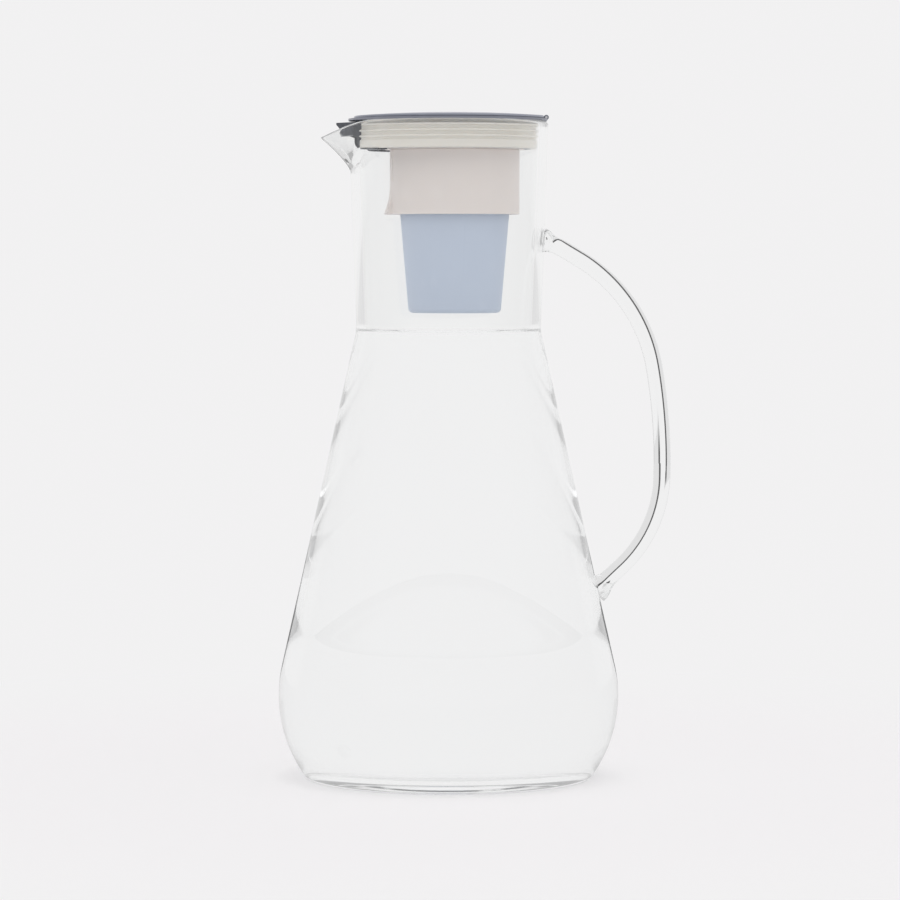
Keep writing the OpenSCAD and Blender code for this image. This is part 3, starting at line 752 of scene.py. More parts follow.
@dataclass
class GlassBody:
    """The blown vessel with its pulled spout, and the water in it.

    Attributes name the sizes in millimetres. Outside and inside share the level of the
    belly's centre and its upright arc, so the wall is even apart from the heel. The powers
    say how fast the spout swells out, how its columns crowd and how its rim dips.
    """

    rim_z: float = 252.6
    rim_r: float = 38.4
    neck_r: float = 35.5
    neck_z: float = 172.4
    belly_r: float = 65.54
    belly_z: float = 31.5
    curve_r: float = 53.0
    wall: float = 3.4
    base: float = 4.6
    punt: float = 1.3
    heel: float = 15.0
    foot: float = 2.6
    fillet: float = 16.0
    lip: float = 1.5
    spout_root_z: float = 233.5
    spout_reach: float = 49.4
    spout_drop: float = 6.2
    nose_r: float = 2.4
    nose_root_r: float = 20.0
    lip_wall: float = 1.2
    swell_power: float = 1.2
    crowd_power: float = 1.6
    dip_across: float = 0.85
    dip_up: float = 1.3
    water_z: float = 171.2
    meniscus: float = 1.7
    climb_run: float = 1.5
    overlap: float = 0.06
    columns: int = 256
    water_columns: int = 192
    base_rings: int = 10
    corner_rows: int = 20
    belly_rows: int = 44
    shoulder_rows: int = 36
    fillet_rows: int = 14
    neck_rows: int = 70
    lip_rows: int = 12
    skin_rings: int = 26
    skin_first: float = 0.08
    hub_r: float = 4.0

    def neck_out(self, z: np.ndarray) -> np.ndarray:
        """The outer radius of the neck at levels z."""
        return self.neck_r + (self.rim_r - self.neck_r) * (z - self.neck_z) / (self.rim_z - self.neck_z)

    def wall_profile(self, inset: float, count: int) -> np.ndarray:
        """Half outline from the belly's arc up the shoulder and neck to the lip.

        It is one arc, a straight line that touches it, a fillet at the neck's foot and the
        neck's straight taper. The arc starts at the widest place's level minus its sweep.

        Args:
            inset: How far it lies inside the outer face.
            count: Points along the neck.

        Returns:
            Points (r, z), from the low end of the arc to the lip.
        """
        r = self.curve_r - inset
        centre = self.belly_r - self.curve_r
        foot = self.neck_r - inset
        reach = np.hypot(foot - centre, self.neck_z - self.belly_z)
        touch = np.degrees(np.arctan2(self.neck_z - self.belly_z, foot - centre) - np.arccos(r / reach))
        low = np.degrees(np.arcsin((self.arc_low(inset) - self.belly_z) / r))
        belly = arc(centre, self.belly_z, r, low, touch, self.belly_rows)
        rise = np.degrees(np.arctan2(self.rim_z - self.neck_z, self.rim_r - self.neck_r))
        shoulder = touch + 90.0
        radius = self.fillet + inset
        half = np.radians((shoulder - rise) / 2)
        run = radius * np.tan(half)
        corner = np.array([foot, self.neck_z])
        side = np.radians([rise, shoulder])
        above = corner + run * np.array([np.cos(side[0]), np.sin(side[0])])
        centre_at = above + radius * np.array([np.sin(side[0]), -np.cos(side[0])])
        bend = arc(centre_at[0], centre_at[1], radius, shoulder + 90.0, rise + 90.0, self.fillet_rows)
        top = (self.rim_r - inset, self.rim_z - self.lip)
        straight = line(tuple(belly[-1]), tuple(bend[0]), self.shoulder_rows)[1:-1]
        neck = line(tuple(bend[-1]), top, count)[1:]
        return np.concatenate([belly, straight, bend, neck])

    def arc_low(self, inset: float) -> float:
        """The level where the belly's arc gives way to the foot, or inside to the heel.

        Args:
            inset: How far the arc lies inside the outer face.

        Returns:
            The level.
        """
        r = self.curve_r - inset
        level, radius = (self.base, self.heel) if inset else (0.0, self.foot)
        return self.belly_z - (self.belly_z - level - radius) * r / (r - radius)

    def corner_arc(self, inset: float, level: float, radius: float) -> np.ndarray:
        """The arc that joins a flat at a level to the belly's arc, touching both.

        Args:
            inset: How far the belly's arc lies inside the outer face.
            level: The flat's level.
            radius: The arc's radius.

        Returns:
            Points (r, z) from the flat up to the belly's arc.
        """
        r = self.curve_r - inset
        fall = self.belly_z - level - radius
        centre = self.belly_r - self.curve_r + np.sqrt((r - radius) ** 2 - fall ** 2)
        end = -np.degrees(np.arcsin(fall / (r - radius)))
        return arc(centre, level + radius, radius, -90.0, end, self.corner_rows)

    def base_rows(self, edge: float, level: float) -> np.ndarray:
        """A shallow dome from the axis out to an edge: its height falls with the square of r.

        Args:
            edge: The radius of the edge.
            level: The edge's level.

        Returns:
            Points (r, z) from the axis outwards.
        """
        r = np.linspace(0, edge, self.base_rings, endpoint=False)
        r[1:] = np.maximum(r[1:], self.hub_r)
        return np.column_stack([r, level + self.punt * (1 - (r / edge) ** 2)])

    def spout(self, turn: np.ndarray, share: np.ndarray, r: np.ndarray, reach: float,
              nose: float) -> np.ndarray:
        """How far the spout stands out of the neck's circle.

        At each level the wall is the hull of the neck's circle and a small circle towards
        the spout: its outline is the nose's arc, then a line that touches both circles,
        then the neck itself. The small circle moves out with a power of the share.

        Args:
            turn: Angles from the spout, of shape (1, columns).
            share: Where each row stands between the spout's root (0) and the rim (1).
            r: The neck's radius at each row.
            reach: The distance of the nose from the axis at the rim.
            nose: The radius of the nose at the rim.

        Returns:
            Distances of shape (rows, columns).
        """
        small = nose + (self.nose_root_r - nose) * (1 - share)
        out = r - small + (reach - r) * share ** self.swell_power
        side = np.arccos(np.clip((r - small) / np.maximum(out, 1e-6), -1, 1))
        touch = np.arctan2(small * np.sin(side), out + small * np.cos(side))
        on_nose = out * np.cos(turn) + np.sqrt(np.maximum(small ** 2 - (out * np.sin(turn)) ** 2, 0))
        on_line = r / np.maximum(np.cos(side - turn), 1e-6)
        form = np.where(turn < touch, on_nose, np.where(turn < side, on_line, r))
        return form - r

    def revolved_wall(self, profile: np.ndarray, share_in: np.ndarray) -> np.ndarray:
        """Turns the profile about the axis and draws its rim out to the spout.

        Columns stand closer together at the spout: the angle grows with a power of the
        column's place. The rim falls towards the tip with how far it is drawn out.

        Args:
            profile: Points (r, z).
            share_in: 0 on the outer face, 1 on the inner face and between on the lip.

        Returns:
            A grid of shape (rows, columns, 3).
        """
        place = np.linspace(-1, 1, self.columns, endpoint=False)[None, :]
        signed = np.pi * np.sign(place) * np.abs(place) ** self.crowd_power
        turn = np.abs(signed)
        r, z = profile[:, :1], profile[:, 1:]
        share = np.clip((z - self.spout_root_z) / (self.rim_z - self.spout_root_z), 0, 1)
        inner = share_in[:, None]
        outer_r = self.neck_out(z)
        outer = self.spout(turn, share, outer_r, self.spout_reach, self.nose_r)
        hollow = self.spout(turn, share, outer_r - self.wall, self.spout_reach - self.lip_wall,
                            self.nose_r - self.lip_wall)
        full = self.spout(turn, np.ones((1, 1)), np.full((1, 1), self.rim_r), self.spout_reach,
                          self.nose_r)
        drawn = np.clip(full / (self.spout_reach - self.rim_r), 0, 1)
        radius = r + (1 - inner) * outer + inner * hollow
        level = z - self.spout_drop * drawn ** self.dip_across * share ** self.dip_up
        return np.stack([-radius * np.cos(signed), radius * np.sin(signed), level], axis=-1)

    def half_outline(self, inset: float, level: float, radius: float) -> np.ndarray:
        """A face's half outline from the axis at the bottom up to the lip.

        Args:
            inset: How far the face lies inside the outer one.
            level: The level of its bottom.
            radius: The radius of the arc that joins the bottom to the belly.

        Returns:
            Points (r, z).
        """
        corner = self.corner_arc(inset, level, radius)
        return np.concatenate([self.base_rows(corner[0, 0], level), corner[:-1],
                               self.wall_profile(inset, self.neck_rows)])

    def build(self) -> bpy.types.Object:
        """Builds the vessel as one closed wall.

        Returns:
            The piece. Faces inside, below the water, have material index 1.
        """
        outer = self.half_outline(0.0, 0.0, self.foot)
        inner = self.half_outline(self.wall, self.base, self.heel)
        wet_top = self.water_z + self.meniscus
        row = int(np.argmin(np.abs(inner[:, 1] - wet_top)))
        inner[row] = [np.interp(wet_top, inner[:, 1], inner[:, 0]), wet_top]
        over = np.linspace(0, np.pi, self.lip_rows + 2)[1:-1]
        middle = self.rim_r - self.wall / 2
        lip = np.column_stack([middle + self.wall / 2 * np.cos(over),
                               self.rim_z - self.lip + self.lip * np.sin(over)])
        profile = np.concatenate([outer, lip, inner[::-1]])
        share_in = np.concatenate([np.zeros(len(outer)), (1 - np.cos(over)) / 2, np.ones(len(inner))])
        surface = Surface.from_grid(self.revolved_wall(profile, share_in), False, True)
        wet_row = len(profile) - 1 - row
        surface.index = (surface.quads.max(axis=1) // self.columns > wet_row).astype(int)
        return surface.to_object("glass_body", sharp=60.0)

    def water(self) -> bpy.types.Object:
        """Builds the water: the hollow's outline with a level top that climbs at the wall.

        The climb falls off with the exponential of the distance from the wall. The sides
        lie a little inside the glass, so that light meets the glass's own inner face last.

        Returns:
            The piece. Its sides have material index 1.
        """
        inner = self.half_outline(self.wall, self.base, self.heel)
        top = self.water_z + self.meniscus
        side = inner[inner[:, 1] < top]
        edge = float(np.interp(top, inner[:, 1], inner[:, 0]))
        side = np.concatenate([side, [[edge, top]]]) + [self.overlap, 0]
        side[0, 0] = 0.0
        side[:, 1] -= self.overlap * (side[:, 1] < self.base + self.heel)
        away = np.concatenate([np.geomspace(self.skin_first, edge - self.hub_r, self.skin_rings), [edge]])
        climb = self.meniscus * np.exp(-away / self.climb_run)
        skin = np.column_stack([edge - away, self.water_z + climb])
        surface = revolved(np.concatenate([side, skin]), self.water_columns, loop=False)
        surface.index = (surface.quads.max(axis=1) // self.water_columns < len(side)).astype(int)
        return surface.to_object("water", sharp=50.0)


@dataclass
class RodHandle:
    """The bent glass rod, with flared welds at both ends.

    The bends are the radius and the angle of each arc, from the neck down. The foot's flare
    is wider and longer than the top's by the two last shares.
    """

    rod_r: float = 3.24
    top_z: float = 208.0
    stub: float = 14.6
    slope: float = 31.4
    bends: tuple[tuple[float, float], ...] = ((60.0, 49.0), (220.0, 10.9), (49.4, 45.5))
    flare: float = 1.5
    flare_run: float = 2.4
    weld_sink: float = 1.6
    foot_flare: float = 1.3
    foot_run: float = 1.4
    longest_tail: float = 25.0
    step: float = 1.2
    stub_points: int = 15
    tail_points: int = 8
    sides: int = 40

    def path(self, start_x: float, buried: float, tail: float) -> np.ndarray:
        """Points and headings along the rod's middle line.

        A straight stub, three arcs that each turn down further, and a straight tail. The
        heading is turned at a steady rate along each arc, and the points are its running sum.

        Args:
            start_x: The neck's outer radius at the weld.
            buried: How far the rod starts inside the wall.
            tail: The straight length after the last arc.

        Returns:
            An array of shape (points, 3) of x, z and heading in radians.
        """
        stub = (self.stub + buried) / np.cos(np.radians(self.slope))
        turns = [np.full(self.stub_points, -np.radians(self.slope))]
        steps = [np.full(self.stub_points, stub / (self.stub_points - 1))]
        heading = -np.radians(self.slope)
        for radius, angle in self.bends:
            count = max(int(radius * np.radians(angle) / self.step), 8)
            sweep = np.radians(angle) / count
            turns.append(heading - sweep * (np.arange(count) + 0.5))
            steps.append(np.full(count, 2 * radius * np.sin(sweep / 2)))
            heading -= np.radians(angle)
        turns.append(np.full(self.tail_points, heading))
        steps.append(np.full(self.tail_points, tail / self.tail_points))
        turn = np.concatenate(turns)[1:]
        step = np.concatenate(steps)[1:]
        x = start_x - buried + np.concatenate([[0], np.cumsum(step * np.cos(turn))])
        z0 = self.top_z + buried * np.tan(np.radians(self.slope))
        z = z0 + np.concatenate([[0], np.cumsum(step * np.sin(turn))])
        face = np.concatenate([turn[:1], (turn[:-1] + turn[1:]) / 2, turn[-1:]])
        return np.column_stack([x, z, face])

    def to_wall(self, body: GlassBody, start_x: float) -> float:
        """How far the straight tail runs from the last arc to the shoulder's outer face.

        Args:
            body: The vessel.
            start_x: The neck's outer radius at the upper weld.

        Returns:
            The length of the tail up to the wall.
        """
        end = self.path(start_x, 0.0, 0.0)[-1]
        reach = np.linspace(0, self.longest_tail, 501)
        x = end[0] + reach * np.cos(end[2])
        z = end[1] + reach * np.sin(end[2])
        wall = body.wall_profile(0.0, 10)
        inside = x <= np.interp(z, wall[:, 1], wall[:, 0])
        return float(reach[np.argmax(inside)])

    def build(self, body: GlassBody) -> bpy.types.Object:
        """Sweeps a circle along the path. Its radius grows near both welds.

        Args:
            body: The vessel that the rod is fused to.

        Returns:
            The piece.
        """
        start_x = float(body.neck_out(np.array(self.top_z)))
        buried = body.wall / 2
        path = self.path(start_x, buried, self.to_wall(body, start_x) + buried)
        step = np.hypot(np.diff(path[:, 0]), np.diff(path[:, 1]))
        run = np.concatenate([[0], np.cumsum(step)])
        from_top = np.maximum(run - buried, 0)
        from_foot = np.maximum(run[-1] - buried - run, 0)
        path[:, 1] -= self.weld_sink * np.exp(-(from_top / (2 * self.flare_run)) ** 2)
        top_flare = np.exp(-(from_top / self.flare_run) ** 2)
        foot_flare = self.foot_flare * np.exp(-(from_foot / (self.foot_run * self.flare_run)) ** 2)
        r = self.rod_r + self.flare * (top_flare + foot_flare)
        turn = np.linspace(0, FULL_TURN, self.sides, endpoint=False)[None, :]
        x, z, face = (path[:, i:i + 1] for i in range(3))
        r = r[:, None]
        grid = np.stack([x - r * np.cos(turn) * np.sin(face), r * np.sin(turn) + 0 * face,
                         z + r * np.cos(turn) * np.cos(face)], axis=-1)
        surface = Surface.from_grid(grid, False, True)
        count = len(surface.points)
        surface.caps = [list(range(self.sides)), list(range(count - self.sides, count))]
        return surface.to_object("glass_rod", sharp=60.0)


@dataclass
class Carafe:
    """The glass with its handle and the water that it holds."""

    finishes: Finishes

    def build(self) -> None:
        """Builds the pieces and dresses them."""
        body = GlassBody()
        vessel = dress(body.build(), Body.CARAFE, "glass", self.finishes.glass, self.finishes.wet_glass)
        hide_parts("glass_vessel")
        rod = dress(RodHandle().build(body), Body.CARAFE, "glass", self.finishes.glass)
        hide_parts("glass_handle")
        dress(body.water(), Body.CARAFE, "glass", self.finishes.water, self.finishes.water_side)


# The lid


@dataclass
class FlipDisc:
    """The crowned disc with its plug and hinge knuckle."""

    radius: float = 37.3
    centre_x: float = 1.1
    low: float = 253.5
    thick: float = 0.9
    crown: float = 1.4
    soft: float = 0.3
    columns: int = 240
    rings: int = 26
    edge_rows: int = 7
    chord_x: float = 36.35
    plug_x: float = 2.4
    plug_r: float = 24.2
    plug_wall: float = 1.2
    plug_low: float = 250.1
    plug_soft: float = 0.25
    hinge_x: float = 37.45
    hinge_z: float = 253.85
    knuckle: float = 0.95
    pin_hole: float = 0.5
    half_width: float = 4.0
    strap_in: float = 0.6
    strap_soft: float = 0.1

    def plate(self) -> Surface:
        """The disc: rings scaled to an outline that is a circle cut by the hinge's chord.

        The top falls with the square of the distance from the middle, and the edge is a
        half circle.

        Returns:
            The surface.
        """
        turn = np.linspace(0, FULL_TURN, self.columns, endpoint=False)[None, :]
        reach = self.chord_x - self.centre_x
        ahead = 0.2
        chord = np.where(np.cos(turn) > ahead, reach / np.maximum(np.cos(turn), ahead), self.radius)
        limit = np.minimum(self.radius, chord) - self.soft
        share = np.linspace(0, 1, self.rings)[:, None]
        flat = limit * share
        top = self.low + self.thick + self.crown * (1 - (flat / self.radius) ** 2)
        over = np.radians(np.linspace(90, -90, self.edge_rows + 2))[1:-1][:, None]
        edge = limit + self.soft * np.cos(over)
        edge_z = np.where(over > 0, top[-1:] - self.soft + self.soft * np.sin(over),
                          self.low + self.soft + self.soft * np.sin(over)) + 0 * turn
        below = limit * share[::-1]
        radius = np.concatenate([flat, edge, below])
        level = np.concatenate([top, edge_z, np.full_like(below, self.low)])
        grid = np.stack([self.centre_x + radius * np.cos(turn), radius * np.sin(turn), level], axis=-1)
        return Surface.from_grid(grid, False, True)

    def build(self) -> bpy.types.Object:
        """Builds the disc with the ring of its plug and the knuckle.

        Returns:
            The piece.
        """
        inner = self.plug_r - self.plug_wall
        middle = self.low + self.thick / 2
        section = rounded([(inner, self.plug_low), (self.plug_r, self.plug_low),
                           (self.plug_r, middle), (inner, middle)], self.plug_soft)
        plug = revolved(section, count=160, x=self.plug_x)
        knuckle = barrel(self.knuckle, self.pin_hole, -self.half_width, self.half_width,
                         self.hinge_x, self.hinge_z)
        strap = slab((self.chord_x - self.strap_in, -self.half_width, self.low),
                     (self.hinge_x - self.pin_hole, self.half_width, self.low + self.thick),
                     self.strap_soft)
        return self.plate().joined(plug, knuckle, strap).to_object("flip_disc_shell")


@dataclass
class RibbedSeal:
    """The silicone sleeve with its ribs and the plain band at its foot.

    The ribs stand out with the neck's taper, less a little play. The band starts over a lead
    at its foot and ends over a step.
    """

    inner_r: float = 31.76
    body_r: float = 33.66
    low: float = 241.8
    top: float = 252.55
    gap: float = 11.55
    rib: float = 0.85
    rib_t: float = 1.0
    first: float = 250.7
    pitch: float = 2.15
    ribs: int = 3
    taper: float = 2.9 / 80.2
    play: float = 0.1
    band: float = 0.5
    band_h: float = 3.4
    band_step: float = 0.4
    lead: float = 1.1
    edge: float = 0.3
    rows: int = 150

    def build(self) -> bpy.types.Object:
        """Turns the sleeve's section about the axis, open at the spout.

        The outer radius is the body's, plus a half ellipse for each rib and a smooth step
        for the band.

        Returns:
            The piece.
        """
        z = np.linspace(self.low + self.edge, self.top - self.edge, self.rows)
        centres = self.first - self.pitch * np.arange(self.ribs)
        bulge = np.sqrt(np.maximum(1 - ((z[:, None] - centres) * 2 / self.rib_t) ** 2, 0))
        proud = self.rib + self.taper * (z - self.low) - self.play
        step = np.clip((self.low + self.band_h - z) / self.band_step, 0, 1)
        lead = np.clip((z - self.low) / self.lead, 0, 1)
        smooth = step * step * (3 - 2 * step) * np.sin(lead * np.pi / 2)
        r = self.body_r + proud * bulge.max(axis=1) + self.band * smooth
        outer = np.column_stack([r, z])
        corners = np.concatenate([[[self.inner_r, self.top], [self.inner_r, self.low],
                                   [self.body_r - self.edge, self.low]], outer,
                                  [[self.body_r - self.edge, self.top]]])
        return revolved(corners, count=220, gap=self.gap).to_object("ribbed_seal", sharp=50.0)


@dataclass
class FilterHolder:
    """The sleeve that carries the cartridge, with its pull lip and grooves.

    Columns stand closer together within `near` degrees of the lip's two ends. `columns` says
    how many there are on each side before, about and behind such an end.
    """

    x: float = 2.4
    r: float = 24.9
    wall: float = 1.3
    low: float = 216.8
    top: float = 241.6
    flare: float = 2.4
    flare_h: float = 11.0
    half_angle: float = 18.0
    near: float = 3.0
    columns: tuple[int, int, int] = (18, 40, 70)
    groove_w: float = 0.8
    groove_d: float = 0.6
    groove_side: float = 0.3
    groove_above: float = 1.5
    groove_end: float = 0.6
    hole_r: float = 9.05
    corner: float = 1.0
    soft: float = 0.45

    def build(self) -> bpy.types.Object:
        """Turns the sleeve's section about its axis.

        Within the half angle the outer face leans out along an arc towards the foot. Beside
        it, above the lean, a narrow groove is cut on each side.

        Returns:
            The piece.
        """
        near = np.radians([0, self.half_angle - self.near, self.half_angle + self.near, 180])
        half = np.concatenate([np.linspace(*near[i:i + 2], count, endpoint=False)
                               for i, count in enumerate(self.columns)])
        signed = np.concatenate([half, [np.pi], -half[:0:-1]])[None, :]
        lean_top = self.low + self.flare_h
        levels = np.concatenate([np.linspace(self.low + self.soft, lean_top + 2, 30),
                                 np.linspace(lean_top + 2.3, self.top - self.soft, 16)])
        foot = arc(self.r - self.soft, self.low + self.soft, self.soft, -90, 0, 6)[:-1]
        head = arc(self.r - self.soft, self.top - self.soft, self.soft, 0, 90, 6)[1:]
        outer = np.concatenate([foot, np.column_stack([np.full(len(levels), self.r), levels]), head])
        roof = self.top - self.wall
        bore = self.r - self.wall
        inner = np.array([[self.hole_r, self.top], [self.hole_r, roof], [bore - self.corner, roof],
                          [bore, roof - self.corner], [bore, self.low + self.soft],
                          [bore + self.soft, self.low]])
        profile = np.concatenate([outer, inner])
        is_outer = np.concatenate([np.ones(len(outer)), np.zeros(len(inner))])[:, None]
        r, z = profile[:, :1], profile[:, 1:]
        curve = (self.flare_h ** 2 + self.flare ** 2) / (2 * self.flare)
        below = np.clip(lean_top - z, 0, self.flare_h)
        lean = curve - np.sqrt(curve ** 2 - below ** 2)
        turn = np.degrees(np.abs(signed))
        inside = np.clip(self.half_angle + 0.5 - turn, 0, 1)
        across = np.radians(np.abs(turn - self.half_angle)) * self.r
        cut = np.clip(((self.groove_w + self.groove_side) / 2 - across) / self.groove_side, 0, 1)
        above = np.clip((z - lean_top - self.groove_above) / self.groove_end, 0, 1)
        smooth = inside * inside * (3 - 2 * inside)
        radius = r + is_outer * (lean * smooth - self.groove_d * cut * above)
        grid = np.stack([self.x - radius * np.cos(signed), radius * np.sin(signed), z + 0 * signed], axis=-1)
        return Surface.from_grid(grid, True, True).to_object("holder_sleeve", sharp=40.0)


@dataclass
class Lid:
    """The stopper lid: collar, spout insert, seal, well, disc and filter holder.

    The sizes say between which distances from the axis, how far and below which level the
    insert's cheeks are drawn in.
    """

    finishes: Finishes
    cheek_root: float = 31.2
    cheek_reach: float = 35.4
    cheek_in: float = 2.3
    roof_low: float = 246.9

    def drawn_in(self, piece: bpy.types.Object) -> bpy.types.Object:
        """Draws the insert's cheeks in towards the seal, below its roof.

        The shift grows evenly from the cheeks' root to their front, where it is `cheek_in`.

        Args:
            piece: The insert.

        Returns:
            The same piece.
        """
        count = len(piece.data.vertices)
        flat = np.empty(count * 3)
        piece.data.vertices.foreach_get("co", flat)
        points = flat.reshape(count, 3)
        run = self.cheek_reach - self.cheek_root
        share = np.clip((-points[:, 0] / MM - self.cheek_root) / run, 0, 1)
        points[:, 0] += self.cheek_in * MM * share * (points[:, 2] < self.roof_low * MM)
        piece.data.vertices.foreach_set("co", flat)
        piece.data.update()
        return piece

    def build(self) -> None:
        """Builds the pieces and dresses them."""
        ink = self.finishes.plastics
        collar = softened("lid_collar", "collar_ring", width=0.2)
        dress(collar, Body.LID, "slate_plastic", ink[Plastic.COLLAR])
        insert = self.drawn_in(softened("spout_insert", "pour_channel", width=0.3))
        dress(insert, Body.LID, "slate_plastic", ink[Plastic.INSERT])
        well = softened("fill_well", "well_cup", width=0.2)
        dress(well, Body.LID, "cream_plastic", ink[Plastic.CREAM])
        seal = dress(RibbedSeal().build(), Body.LID, "cream_silicone", ink[Plastic.SILICONE])
        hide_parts("seal_ring")
        sleeve = dress(FilterHolder().build(), Body.LID, "cream_plastic", ink[Plastic.CREAM])
        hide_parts("filter_holder")
        disc = dress(FlipDisc().build(), Body.DISC, "slate_plastic", ink[Plastic.DISC])
        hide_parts("flip_lid")
        repaint("well_seal", ink[Plastic.SILICONE])
        repaint("hinge_pin", self.finishes.steel)
        repaint("flip_lid_gasket", ink[Plastic.SILICONE])


@dataclass
class Cartridge:
    """The filter cartridge and its fillings."""

    finishes: Finishes

    def build(self) -> None:
        """Builds the pieces and dresses them."""
        ink = self.finishes.plastics
        cup = softened("cartridge_shell", "cartridge_cup", width=0.35, segments=3)
        dress(cup, Body.CARTRIDGE, "blue_plastic", ink[Plastic.BLUE])
        cap = softened("cartridge_cap", "cartridge_lid", width=0.3)
        dress(cap, Body.CARTRIDGE, "blue_plastic", ink[Plastic.BLUE])
        repaint("cartridge_o_ring", ink[Plastic.RUBBER])
        for node in ("upper_screen", "divider_felt", "lower_screen"):
            repaint(node, ink[Plastic.FELT])
        repaint("carbon_bed", self.finishes.carbon)
        repaint("resin_bed", self.finishes.resin)


# The studio


@dataclass
class Studio:
    """A pale floor, a pale surround, one soft lamp and the photograph's camera.

    The sky that lights grows from `light` at the horizon to `overhead`, and the floor lights
    with a strength of 1. The surround that glass shows is dimmer far to the sides, up to
    `side_top`, below the horizon past `line_top`, and about two dark lines that only the
    solid rod shows. `root` moves the lines' start on the floor to the side.
    """

    camera_at: tuple[float, float, float] = (0.0006, -1.553, 0.2001)
    pitch: float = 2.725
    lens: float = 161.36
    sensor: float = 36.0
    view_end: float = 20.0
    floor_colour: tuple[float, float, float] = (0.88, 0.87, 0.876)
    floor_roughness: float = 0.85
    floor_gloss: float = 0.1
    floor_fade: tuple[float, float] = (0.16, 0.4)
    floor_rings: tuple[float, ...] = (0.0, 100.0, 250.0, 500.0, 900.0, 1500.0, 2400.0)
    light: float = 0.95
    overhead: float = 1.1
    overhead_edge: tuple[float, float] = (0.2, 0.5)
    side_grey: float = 0.85
    side_edge: tuple[float, float] = (0.8, 0.87)
    side_top: tuple[float, float] = (0.15, 0.4)
    line_at: float = 0.29
    line_half: tuple[float, float] = (0.06, 0.09)
    line_level: float = 0.08
    line_top: tuple[float, float] = (-0.045, -0.02)
    beyond_level: float = 0.85
    rod_faces: float = 2.5
    root: float = 0.03
    lamp_at: tuple[float, float, float] = (0.1, -0.1, 1.5)
    lamp_side: float = 0.9
    lamp_power: float = 1.5

    def camera(self) -> None:
        """Makes the camera and makes it the scene's own."""
        data = bpy.data.cameras.new("camera")
        data.lens = self.lens
        data.sensor_width = self.sensor
        data.clip_end = self.view_end
        made = bpy.data.objects.new("camera", data)
        made.location = self.camera_at
        made.rotation_euler = (np.radians(90 - self.pitch), 0, 0)
        bpy.context.scene.collection.objects.link(made)
        bpy.context.scene.camera = made

    def world(self) -> None:
        """A surround in two parts: a sky that lights, and one that glass and gloss show.

        Matt surfaces are lit by a sky that grows a little brighter overhead. Light that has
        met only glass or gloss sees the pale backdrop, with darker sides low down.
        """
        made = bpy.data.worlds.new("surround")
        made.use_nodes = True
        bpy.context.scene.world = made
        graph = Graph(made.node_tree)
        shader = made.node_tree.nodes["Background"]
        toward = graph.add("ShaderNodeTexCoord").outputs["Generated"]
        split = graph.add("ShaderNodeSeparateXYZ", Vector=toward).outputs
        path = graph.add("ShaderNodeLightPath").outputs
        lighting = graph.spread(split["Z"], *self.overhead_edge, self.light, self.overhead, True)
        across = graph.maths("ABSOLUTE", split["X"], 0)
        aside = graph.spread(across, *self.side_edge, 0.0, 1.0, True)
        low = graph.spread(split["Z"], *self.side_top, 1.0, 0.0, True)
        shown = graph.spread(graph.maths("MULTIPLY", aside, low), 0.0, 1.0, 1.0, self.side_grey)
        below = graph.spread(split["Z"], *self.line_top, 0.0, 1.0)
        line_share = graph.maths("MAXIMUM", below, self.sheet_line(graph, across, split["Y"], path))
        shown = graph.maths("MULTIPLY", shown, line_share)
        shown = graph.maths("MAXIMUM", shown, path["Is Camera Ray"])
        choice = graph.add("ShaderNodeMix", data_type="FLOAT")
        graph.plug(choice, {0: self.lights(graph, path), 2: shown, 3: lighting})
        shader.inputs["Color"].default_value = (*PALE, 1)
        graph.feed(shader.inputs["Strength"], choice.outputs[0])

    def lights(self, graph: Graph, path: bpy.types.bpy_prop_collection) -> bpy.types.NodeSocket:
        """Tells the rays that light a matt surface from those that are seen.

        Args:
            graph: The graph to build in.
            path: The outputs of a Light Path node.

        Returns:
            1 where a ray lights a matt surface, and 0 where the camera, glass or gloss sees it.
        """
        seen = graph.maths("MAXIMUM", path["Is Glossy Ray"], path["Is Transmission Ray"])
        seen = graph.maths("MAXIMUM", seen, path["Is Camera Ray"])
        matt = graph.maths("MINIMUM", path["Diffuse Depth"], 1.0)
        return graph.maths("MAXIMUM", graph.maths("SUBTRACT", 1.0, seen), matt)

    def sheet_line(self, graph: Graph, across: bpy.types.NodeSocket, ahead: bpy.types.NodeSocket,
                   path: bpy.types.bpy_prop_collection) -> bpy.types.NodeSocket:
        """How bright the backdrop is about its dark lines, as the solid rod shows it.

        The lines run out from behind the carafe to both sides. They are told by the share
        of the distance across to the distance ahead. Light that has passed more faces than
        the rod's two doesn't meet them.

        Args:
            graph: The graph to build in.
            across: The distance to the side.
            ahead: The distance behind the carafe.
            path: The outputs of a Light Path node.

        Returns:
            The level, 1 where nothing is darker.
        """
        share = graph.maths("DIVIDE", across, graph.maths("MAXIMUM", ahead, 0.001))
        away = graph.maths("ABSOLUTE", graph.maths("SUBTRACT", share, self.line_at), 0)
        dark = graph.spread(away, *self.line_half, self.line_level, 1.0, True)
        end = self.line_at + self.line_half[1]
        beyond = graph.spread(share, self.line_at, end, 1.0, self.beyond_level)
        other = graph.maths("GREATER_THAN", path["Transmission Depth"], self.rod_faces)
        return graph.maths("MAXIMUM", graph.maths("MULTIPLY", dark, beyond), other)

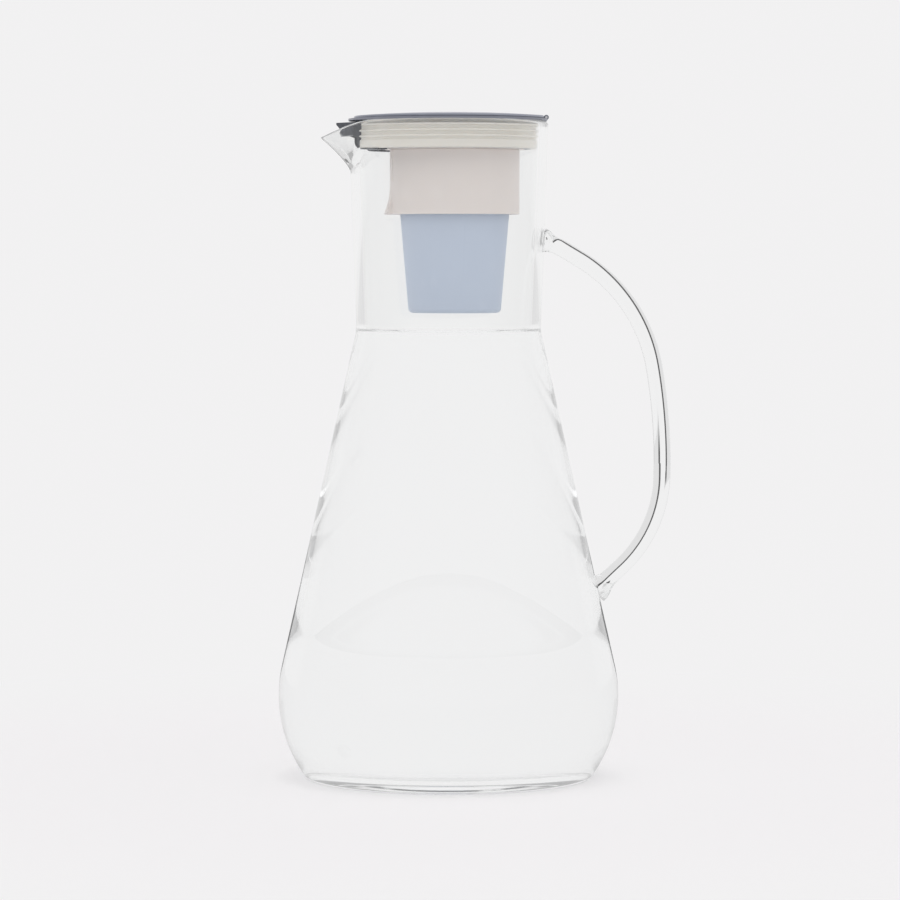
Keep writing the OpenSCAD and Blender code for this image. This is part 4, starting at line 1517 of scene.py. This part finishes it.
    def floor(self) -> None:
        """A round floor whose lit colour fades into the surround's away from the carafe.

        Glass and gloss see it as pale as the backdrop, with the rod's dark lines on it.
        """
        rings = np.array(self.floor_rings)
        flat = np.column_stack([rings, np.zeros(len(rings))])
        made = revolved(flat, count=96, loop=False).to_object("floor")
        material, graph, shader = plain_material("pale floor")
        graph.fill(shader, Base_Color=(*self.floor_colour, 1), Roughness=self.floor_roughness,
                   Specular_IOR_Level=self.floor_gloss)
        where = graph.add("ShaderNodeTexCoord").outputs["Object"]
        distance = graph.plug(graph.add("ShaderNodeVectorMath", operation="LENGTH"), {0: where})
        split = graph.add("ShaderNodeSeparateXYZ", Vector=where).outputs
        path = graph.add("ShaderNodeLightPath").outputs
        fade = graph.spread(distance.outputs["Value"], *self.floor_fade, 0.0, 1.0, True)
        lit = graph.maths("MAXIMUM", path["Is Camera Ray"], self.lights(graph, path))
        fade = graph.maths("MAXIMUM", fade, graph.maths("SUBTRACT", 1.0, lit))
        across = graph.maths("ADD", graph.maths("ABSOLUTE", split["X"], 0), self.root)
        level = graph.maths("MAXIMUM", lit, self.sheet_line(graph, across, split["Y"], path))
        glow = graph.add("ShaderNodeEmission", Color=(*PALE, 1), Strength=level)
        mix = graph.add("ShaderNodeMixShader")
        graph.plug(mix, {0: fade, 1: shader.outputs[0], 2: glow.outputs[0]})
        graph.feed(material.node_tree.nodes["Material Output"].inputs["Surface"], mix.outputs[0])
        made.data.materials.append(material)

    def lamp(self) -> None:
        """Hangs one square soft lamp over the carafe, facing down."""
        data = bpy.data.lights.new("overhead softbox", "AREA")
        data.shape = "RECTANGLE"
        data.size = data.size_y = self.lamp_side
        data.energy = self.lamp_power
        made = bpy.data.objects.new("overhead softbox", data)
        made.location = self.lamp_at
        bpy.context.scene.collection.objects.link(made)

    def build(self) -> None:
        """Sets up the view, the camera, the surround, the floor and the lamp.

        Light may meet BOUNCES faces of glass, and glass stays sharp to the light that comes
        through it.
        """
        bpy.context.scene.view_settings.view_transform = "Standard"
        cycles = bpy.context.scene.cycles
        cycles.max_bounces = cycles.transmission_bounces = cycles.glossy_bounces = BOUNCES
        cycles.blur_glossy = 0.0
        self.camera()
        self.world()
        self.floor()
        self.lamp()
        LOG.info("studio: ready")


def main() -> None:
    """Builds the studio and the carafe."""
    logging.basicConfig(level=logging.INFO, format="%(name)s: %(message)s")
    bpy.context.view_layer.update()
    Studio().build()
    finishes = Finishes()
    for part in (Carafe(finishes), Lid(finishes), Cartridge(finishes)):
        part.build()


if __name__ == "__main__":
    main()
